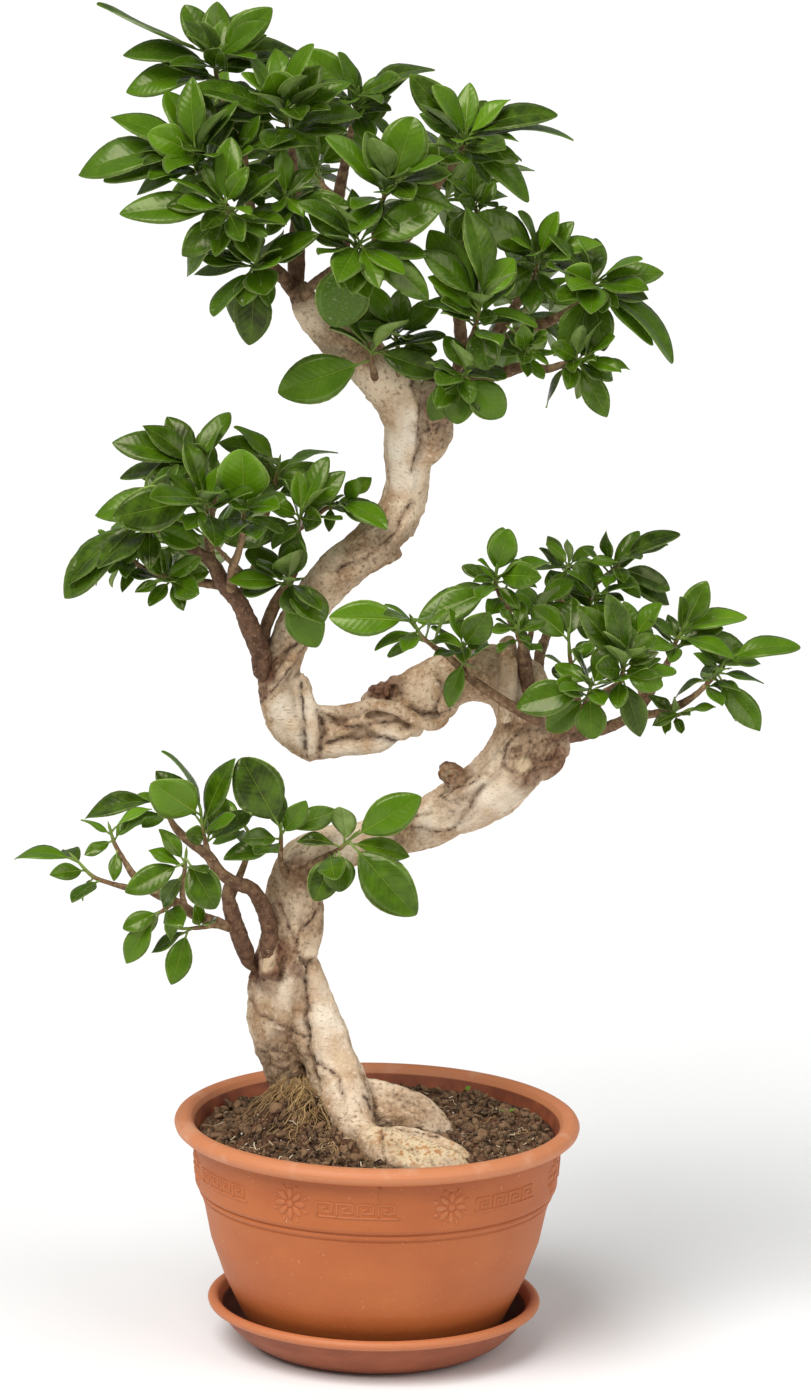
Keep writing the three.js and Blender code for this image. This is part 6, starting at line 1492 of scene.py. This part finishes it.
# Below 26 mm, the inner faces that look up are darker
darker_inside = coat(tree, colour, "#5A2F1F", facing_up, 0.05, 0.3)
colour = coat(tree, colour, darker_inside, height, 29.5 * MM, 26 * MM)
# Painted highlight: the rolled lip above 25.8 mm is lighter
colour = coat(tree, colour, "#BC7044", height, 24.3 * MM, 25.8 * MM)
colour = coat(tree, colour, "#DDB79C", speck, 0.66, 0.75, 0.4)
colour = coat(tree, colour, "#6E3A24", speck, 0.34, 0.27, 0.5)
finish(tree, shader, colour, speck, 0.25, {"Roughness": 0.55, "IOR": 1.5})

points, faces = turned(rounded(SAUCER, 0.6), SAUCER_SIDES)
saucer = mesh_piece("saucer_dish", points, faces, moulded_saucer)
dress(saucer, "saucer", "saucer")
print("saucer:", 2 * len(faces[0]), "triangles")

# %% [markdown]
# ## The relief band
#
# The band under the rim carries a shallow relief: seven rosettes, and between them a run of the
# Greek key, an ancient border pattern. It is 0.6 to 1.2 mm high. A bump texture would vanish at the
# pot's outline and can't hold such fine corners, so the strokes are swept bars and the petals are
# low domes. Both are bent round the wall and sunk 0.6 mm into it, so that no gap shows. One short
# upright stroke stands alone over the key, near the front.

# %% Rosettes and key pattern
MOTIFS = 7
FIRST_MOTIF = math.radians(-27.2)
MOTIF_Z = 117.5
RELIEF, SUNK = 0.6, 0.6
STROKE = 1.25
PITCH = 1.72
KEY = [[0, 0], [0, 5], [5.6, 5], [5.6, 1.7], [2, 1.7], [2, 3.35], [3.9, 3.35]]
KEY_STEP = 7.4
KEY_COUNT = 4
KEY_Z = 112.3
KEY_START = 17.5
LONE_STROKE = math.radians(1.5), 124, 133.6   # its turn, and the heights of its two ends
# Rows of [distance from the middle, half length, half width, turn, height] in mm and radians
PETALS = [[6.6, 4.1, 2.1, 0, 0.9], [11, 1.8, 1.1, 0.39, 0.6]]
PETAL_COUNT = 8
HEART, HEART_HEIGHT = 2.4, 1.2


def on_wall(turn, u, z, out):
    """Points bent round the band: u mm along it from the motif's middle, out mm proud of it."""
    u, z, out = np.broadcast_arrays(u, z, out)
    low, high = POT_BAND
    radius = low[0] + (high[0] - low[0]) * (z - low[1]) / (high[1] - low[1])
    angle = turn + u / radius
    radius = radius + out
    return np.stack([radius * np.sin(angle), -radius * np.cos(angle), z], -1)


def bar(turn, line):
    """A raised stroke with bevelled edges along a line of right-angled bends."""
    line = np.array(line, float)
    dense = [line[0]]
    for a, b in zip(line[:-1], line[1:]):
        steps = max(1, round(np.linalg.norm(b - a) / 2.5))
        dense.extend(a + (b - a) * k / steps for k in range(1, steps + 1))
    dense = np.array(dense)
    ahead = unit(np.diff(dense, axis=0))
    normal = np.stack([-ahead[:, 1], ahead[:, 0]], -1)
    before = np.concatenate([normal[:1], normal])
    after = np.concatenate([normal, normal[-1:]])
    miter = (before + after) / (1 + (before * after).sum(axis=1, keepdims=True))
    across = np.array([-0.5, -0.5, -0.28, 0.28, 0.5, 0.5]) * STROKE
    out = np.array([-SUNK, 0.1, RELIEF, RELIEF, 0.1, -SUNK])
    flat = dense[:, None] + across[None, :, None] * miter[:, None]
    points = on_wall(turn, flat[..., 0], flat[..., 1], out[None]).reshape(-1, 3)
    rows, sides = len(dense), len(across)
    caps = np.array([[0, 1, 4, 5], [1, 2, 3, 4]])
    ends = np.concatenate([caps, caps[:, ::-1] + sides * (rows - 1)])
    return points, np.concatenate([ring_faces(rows, sides)[:, ::-1], ends]), np.zeros((0, 3), int)


def dome(turn, u, z, long, wide, lean, high):
    """A low closed dome, an ellipse of those half lengths in mm, turned by lean."""
    sides = 14
    angle = np.arange(sides) / sides * 2 * math.pi
    reach = np.array([1.0, 0.9, 0.6, 0.25])[:, None]
    out = np.array([-SUNK, 0.35, 0.8, 1.0])[:, None] * np.where(np.arange(4)[:, None] > 0, high, 1)
    x, y = reach * long * np.cos(angle), reach * wide * np.sin(angle)
    around = x * math.cos(lean) - y * math.sin(lean) + u
    up = x * math.sin(lean) + y * math.cos(lean) + z
    ends = on_wall(turn, np.array([u, u]), np.array([z, z]), np.array([-SUNK, high]))
    points = np.concatenate([on_wall(turn, around, up, out).reshape(-1, 3), ends])
    first = np.arange(sides)
    last = first + 3 * sides
    base = np.stack([np.roll(first, -1), first, np.full(sides, 4 * sides)], -1)
    top = np.stack([last, np.roll(last, -1), np.full(sides, 4 * sides + 1)], -1)
    return points, ring_faces(4, sides), np.concatenate([base, top])


relief_parts = []
for k in range(MOTIFS):
    turn = FIRST_MOTIF + k * 2 * math.pi / MOTIFS
    for petal in range(PETAL_COUNT):
        for away, long, wide, offset, high in PETALS:
            lean = petal * 2 * math.pi / PETAL_COUNT + offset
            u, z = away * math.cos(lean), MOTIF_Z + away * math.sin(lean)
            relief_parts.append(dome(turn, u, z, long, wide, lean, high))
    relief_parts.append(dome(turn, 0, MOTIF_Z, HEART, HEART, 0, HEART_HEIGHT))
    for key_number in range(KEY_COUNT):
        start = KEY_START + key_number * KEY_STEP * PITCH
        relief_parts.append(bar(turn, [[start + x * PITCH, KEY_Z + y * PITCH] for x, y in KEY]))
    key_end = KEY_START + KEY_COUNT * KEY_STEP * PITCH
    relief_parts.append(bar(turn, [[KEY_START, KEY_Z], [key_end, KEY_Z]]))
turn, low, high = LONE_STROKE
relief_parts.append(bar(turn, [[0, low], [0, high]]))
points, quads, triangles = gathered(relief_parts)
ornament = mesh_piece("pot_relief", points, [quads, triangles], moulded_pot)
# The relief takes a quarter of the rim's painted light and sheen
paint(ornament, "painted_light_and_shade", 0, 0.25, 0)
dress(ornament, "pot")
print("relief band:", 2 * len(quads) + len(triangles), "triangles")

# %% [markdown]
# ## The soil
#
# Potting soil is dark peat with crumbs of bark, from dust up to pieces of 6 mm. It was heaped
# toward the trunk. The top is a disc of fine rings moved up and down by layered random numbers,
# and loose crumbs lie on it, partly sunk so that none floats.

# %% Soil mound
SOIL_EDGE = 134
SOIL_RADIUS = 109.3
SOIL_FLOOR = 8.3
MOUNDS = [(-34, -4, 16, 42), (25, -40, 5, 40), (-54, -20, 13, 24)]
SOIL_SIDES, SOIL_RINGS = 420, 150
WALL_GAP = 0.3


def soil_height(x, y):
    """The height of the heaped soil, before its crumbs."""
    fade = np.clip((109 - np.hypot(x, y)) / 30, 0, 1)
    heaped = sum(rise * np.exp(-((x - mx) ** 2 + (y - my) ** 2) / spread ** 2)
                 for mx, my, rise, spread in MOUNDS)
    return SOIL_EDGE + 2 * fade + fade * heaped


def crumbly(points):
    """Clods of about 9 mm with a broken face, and grit of about 3 mm."""
    flat = points * (1, 1, 0.3)
    clods = np.abs(layered(flat, 9, 2, 30))
    return 4.2 * clods + 1.8 * layered(flat, 3.6, 2, 36) - 1


radius = SOIL_RADIUS * np.linspace(0.002, 1, SOIL_RINGS) ** 0.75
angle = np.arange(SOIL_SIDES) / SOIL_SIDES * 2 * math.pi
x, y = radius[:, None] * np.cos(angle), radius[:, None] * np.sin(angle)
top = np.stack([x, y, soil_height(x, y)], -1).reshape(-1, 3)
calm = np.clip((SOIL_RADIUS - np.hypot(top[:, 0], top[:, 1])) / 3, 0.1, 1)
top[:, 2] += crumbly(top) * calm
wall = np.array([[r - WALL_GAP, z] for r, z in POT_INNER])
wall = np.concatenate([[[SOIL_RADIUS, 131]], wall[1:-1], [[64 - WALL_GAP, SOIL_FLOOR], [20, SOIL_FLOOR]]])
side_points, _ = turned(wall, SOIL_SIDES)
points = np.concatenate([top, side_points])
rows = len(radius) + len(wall)
quads = ring_faces(rows, SOIL_SIDES)[:, ::-1]
caps = np.array([np.arange(SOIL_SIDES), np.arange(SOIL_SIDES)[::-1] + (rows - 1) * SOIL_SIDES])

potting_soil, tree, shader = new_material("crumbly_potting_soil")
grit = pattern(tree, 2.2, 6)
clod = pattern(tree, 11, 4)
colour = coat(tree, "#1E120B", "#6E4F39", grit, 0.36, 0.62)
colour = coat(tree, colour, "#6B4A34", clod, 0.45, 0.68, 0.6)
colour = coat(tree, colour, "#1C100A", clod, 0.47, 0.36, 0.8)
colour = coat(tree, colour, "#B8977A", pattern(tree, 1.3, 3), 0.62, 0.7, 0.8)
finish(tree, shader, colour, grit, 2.0, {"Roughness": 0.95, "Specular IOR Level": 0.2})
soil = mesh_piece("soil_fill", points, [quads, caps], potting_soil)
dress(soil, "soil", "soil")
print("soil:", 2 * len(quads), "triangles")

# %% [markdown]
# ## Crumbs on the soil
#
# Loose crumbs are lumps of bark and peat, no two alike. A particle system would scatter copies of a
# few lumps. Here each crumb is a ball of its own, whose corners are pushed in and out: 42 corners if
# it is large, and 12 if it is small. The few pale ones are perlite.

# %% Crumbs
scatter = np.random.default_rng(31)
CRUMBS = 3600
CRUMB_REACH = 106   # mm from the bowl's axis
LARGE_CRUMB = 1.5
PALE_SHARE, PALE_MOST = 0.015, 1.2   # how many crumbs are pale, and the largest pale one


def ball(fine):
    """The corners and triangles of a ball: 42 corners, or 12 if it isn't a fine one."""
    g = (1 + math.sqrt(5)) / 2
    corners = [(s, t * g, 0) for s in (-1, 1) for t in (-1, 1)]
    corners = np.array([np.roll(corner, turn) for turn in range(3) for corner in corners], float)
    gaps = np.linalg.norm(corners[:, None] - corners[None], axis=-1)
    near = gaps < 2.1
    triangles = [(i, j, k) for i in range(12) for j in range(i) for k in range(j)
                 if near[i, j] and near[j, k] and near[i, k]]
    triangles = [(i, k, j) if np.linalg.det(corners[[i, j, k]]) < 0 else (i, j, k) for i, j, k in triangles]
    if not fine:
        return unit(corners), np.array(triangles)
    points, faces, middles = list(unit(corners)), [], {}

    def middle(i, j):
        key = (min(i, j), max(i, j))
        if key not in middles:
            middles[key] = len(points)
            points.append(unit(points[i] + points[j]))
        return middles[key]

    for i, j, k in triangles:
        a, b, c = middle(i, j), middle(j, k), middle(k, i)
        faces += [(i, a, c), (a, j, b), (c, b, k), (a, b, c)]
    return np.array(points), np.array(faces)


BALLS = [ball(False), ball(True)]
NO_QUADS = np.zeros((0, 4), int)
WOOD_TOP = 175      # no crumb can touch wood that is higher
crumb_parts, crumb_tones = [], []
low = core[:, 2] < WOOD_TOP
low_wood, low_radius = core[low], core_radius[low]
while len(crumb_parts) < CRUMBS:
    radius, turn = CRUMB_REACH * math.sqrt(scatter.uniform(0, 1)), scatter.uniform(0, 6.3)
    size = 0.5 + 2.8 * scatter.uniform(0, 1) ** 4
    x, y = radius * math.cos(turn), radius * math.sin(turn)
    spot = np.array([[x, y, float(soil_height(x, y))]])
    shape = np.array([1.6, 1.0, 0.6]) * scatter.uniform(0.7, 1.3, 3)
    tumble = np.linalg.qr(scatter.normal(size=(3, 3)))[0]
    tumble = tumble * np.sign(np.linalg.det(tumble))
    tone, seed = scatter.uniform(0, 1), scatter.uniform(0, 900)
    if (np.linalg.norm(low_wood - spot, axis=1) - low_radius).min() < 1:
        continue
    spot[:, 2] += crumbly(spot) + 0.15 * size
    corners, faces = BALLS[size > LARGE_CRUMB]
    lumpy = 1 + 0.4 * layered(corners * 1.1 + seed, 1, 2, 40)
    lump = (corners * shape * lumpy[:, None]) @ tumble * size
    crumb_parts.append((spot + lump, NO_QUADS, faces))
    pale = float(tone > 1 - PALE_SHARE and size < PALE_MOST)
    crumb_tones.append(np.tile([tone ** 1.3, pale], (len(corners), 1)))

soil_crumb, tree, shader = new_material("bark_and_peat_crumb")
tone, pale, _, _ = painted(tree, "crumb")
grit = pattern(tree, 1.6, 5)
colour = coat(tree, "#20130B", "#836449", tone)
colour = coat(tree, colour, "#967A5C", grit, 0.42, 0.68, 0.65)
colour = coat(tree, colour, "#DED6C6", pale)
finish(tree, shader, colour, grit, 1.2, {"Roughness": 0.92, "Specular IOR Level": 0.2})
points, quads, triangles = gathered(crumb_parts)
crumbs = mesh_piece("soil_crumbs", points, [triangles], soil_crumb)
paint(crumbs, "crumb", *np.concatenate(crumb_tones).T)
dress(crumbs, "soil")
print("crumbs:", len(triangles), "triangles")

# %% [markdown]
# ## Rootlets and fibres
#
# Fine ochre rootlets come out of the foot of the left leg and run down over the soil, and pale
# fibres lie about. Each is a tube under a millimetre thick that follows the ground.

# %% Rootlets
# Rows of x and y of a root's foot, how many rootlets it has, and how thick they are
ROOTLETS = [(-52, -6, 130, 1.2), (-38, -22, 70, 1.0), (-22, -50, 60, 0.9), (14, -76, 20, 0.8)]
FIBRES = 190
FIBRE_SIDES = 5
SHORTEST = 4        # stations of the shortest line that is kept
fibre_parts, fibre_tones = [], []


def ground_line(x, y, z, turn, length, sway):
    """A winding line that runs out from a place and settles on the soil."""
    line = [[x, y, z]]
    steps = max(4, round(length / 2))
    for k in range(steps):
        turn += scatter.normal(0, sway)
        x, y = x + 2 * math.cos(turn), y + 2 * math.sin(turn)
        if math.hypot(x, y) > CRUMB_REACH:
            break
        ground = float(soil_height(x, y)) + float(crumbly(np.array([[x, y, SOIL_EDGE]]))[0])
        z = max(z - scatter.uniform(0.6, 2.6), ground + scatter.uniform(-0.2, 0.8))
        line.append([x, y, z])
    return np.array(line)


def add_fibre(line, radii, tone, pale):
    """Keeps the line as a thin tube with its tone and how pale it is."""
    part = tube(line, radii, FIBRE_SIDES)
    fibre_parts.append(part)
    fibre_tones.append(np.tile([tone, pale], (len(part[0]), 1)))


for rx, ry, count, thick in ROOTLETS:
    for _ in range(count):
        turn = scatter.uniform(math.radians(-215), math.radians(20))
        out = scatter.uniform(5, 13)
        x, y = rx + out * math.cos(turn), ry + out * math.sin(turn)
        z = float(soil_height(x, y)) + scatter.uniform(0.5, 13) * (1 if ry > -30 else 0.3)
        line = ground_line(x, y, z, turn, scatter.uniform(9, 34), 0.42)
        if len(line) < SHORTEST:
            continue
        size = scatter.uniform(0.16, 0.45) * thick
        add_fibre(line, np.linspace(size, size * 0.4, len(line)), scatter.uniform(0, 1), 0)
for _ in range(FIBRES):
    radius, turn = 102 * math.sqrt(scatter.uniform(0, 1)), scatter.uniform(0, 6.3)
    x, y = radius * math.cos(turn), radius * math.sin(turn)
    line = ground_line(x, y, float(soil_height(x, y)) + 1.5, scatter.uniform(0, 6.3),
                       scatter.uniform(6, 20), 0.5)
    if len(line) < SHORTEST:
        continue
    radii = np.full(len(line), scatter.uniform(0.18, 0.4))
    add_fibre(line, radii, scatter.uniform(0, 1), scatter.uniform(0, 1))

root_fibre, tree, shader = new_material("dry_root_fibre")
tone, pale, _, _ = painted(tree, "fibre")
colour = coat(tree, "#7E5C33", "#BB9B67", tone)
colour = coat(tree, colour, "#E4D3B6", pale)
fill(tree, shader, {"Base Color": colour, "Roughness": 0.8})
points, quads, triangles = gathered(fibre_parts)
rootlets = mesh_piece("rootlets", points, [quads, triangles], root_fibre)
paint(rootlets, "fibre", *np.concatenate(fibre_tones).T)
dress(rootlets, "bark")
print("rootlets:", 2 * len(quads) + len(triangles), "triangles")

# %% [markdown]
# ## Sprouts
#
# Two seeds have sprouted toward the back of the bowl. Each is a short stem with two seed leaves,
# made like the tree's own leaves and then shrunk to about an eighth.

# %% Sprouts
SPROUTS = [(80, 30, 0.3), (55, 80, 1.2)]
SPROUT_SCALE = 0.13
SPROUT_STEM = np.array([[0, 0, -12], [0, 0, 12], [2, 0, 34]])
SEED_SHAPE = (0.15, (0.3, 8, 1), 0.05, 0.0, 0.6, 1.6)   # as random_shape gives it
sprout_parts, sprout_marks = [], []
for x, y, turn in SPROUTS:
    ground = np.array([x, y, float(soil_height(x, y))])
    stem = tube(SPROUT_STEM, [2.6, 2.4, 2.0], STEM_SIDES)
    made = [(stem, stem_marks(np.ones(len(stem[0]))))]
    for seed_turn in (turn, turn + math.pi):
        axis = unit(np.array([math.cos(seed_turn), math.sin(seed_turn), 0.45]))
        up = unit(np.array([0, 0, 1]) - axis * axis[2])
        made.append(blade([SPROUT_STEM[-1], axis, up, 42, 14, 0.06], SEED_SHAPE))
    for (points, quads, triangles), marks in made:
        sprout_parts.append((ground + SPROUT_SCALE * points, quads, triangles))
        sprout_marks.append(marks)
sprouts, triangles = leafy_piece("sprouts", sprout_parts, sprout_marks)
dress(sprouts, "leaf")
print(len(SPROUTS), "sprouts,", triangles, "triangles")
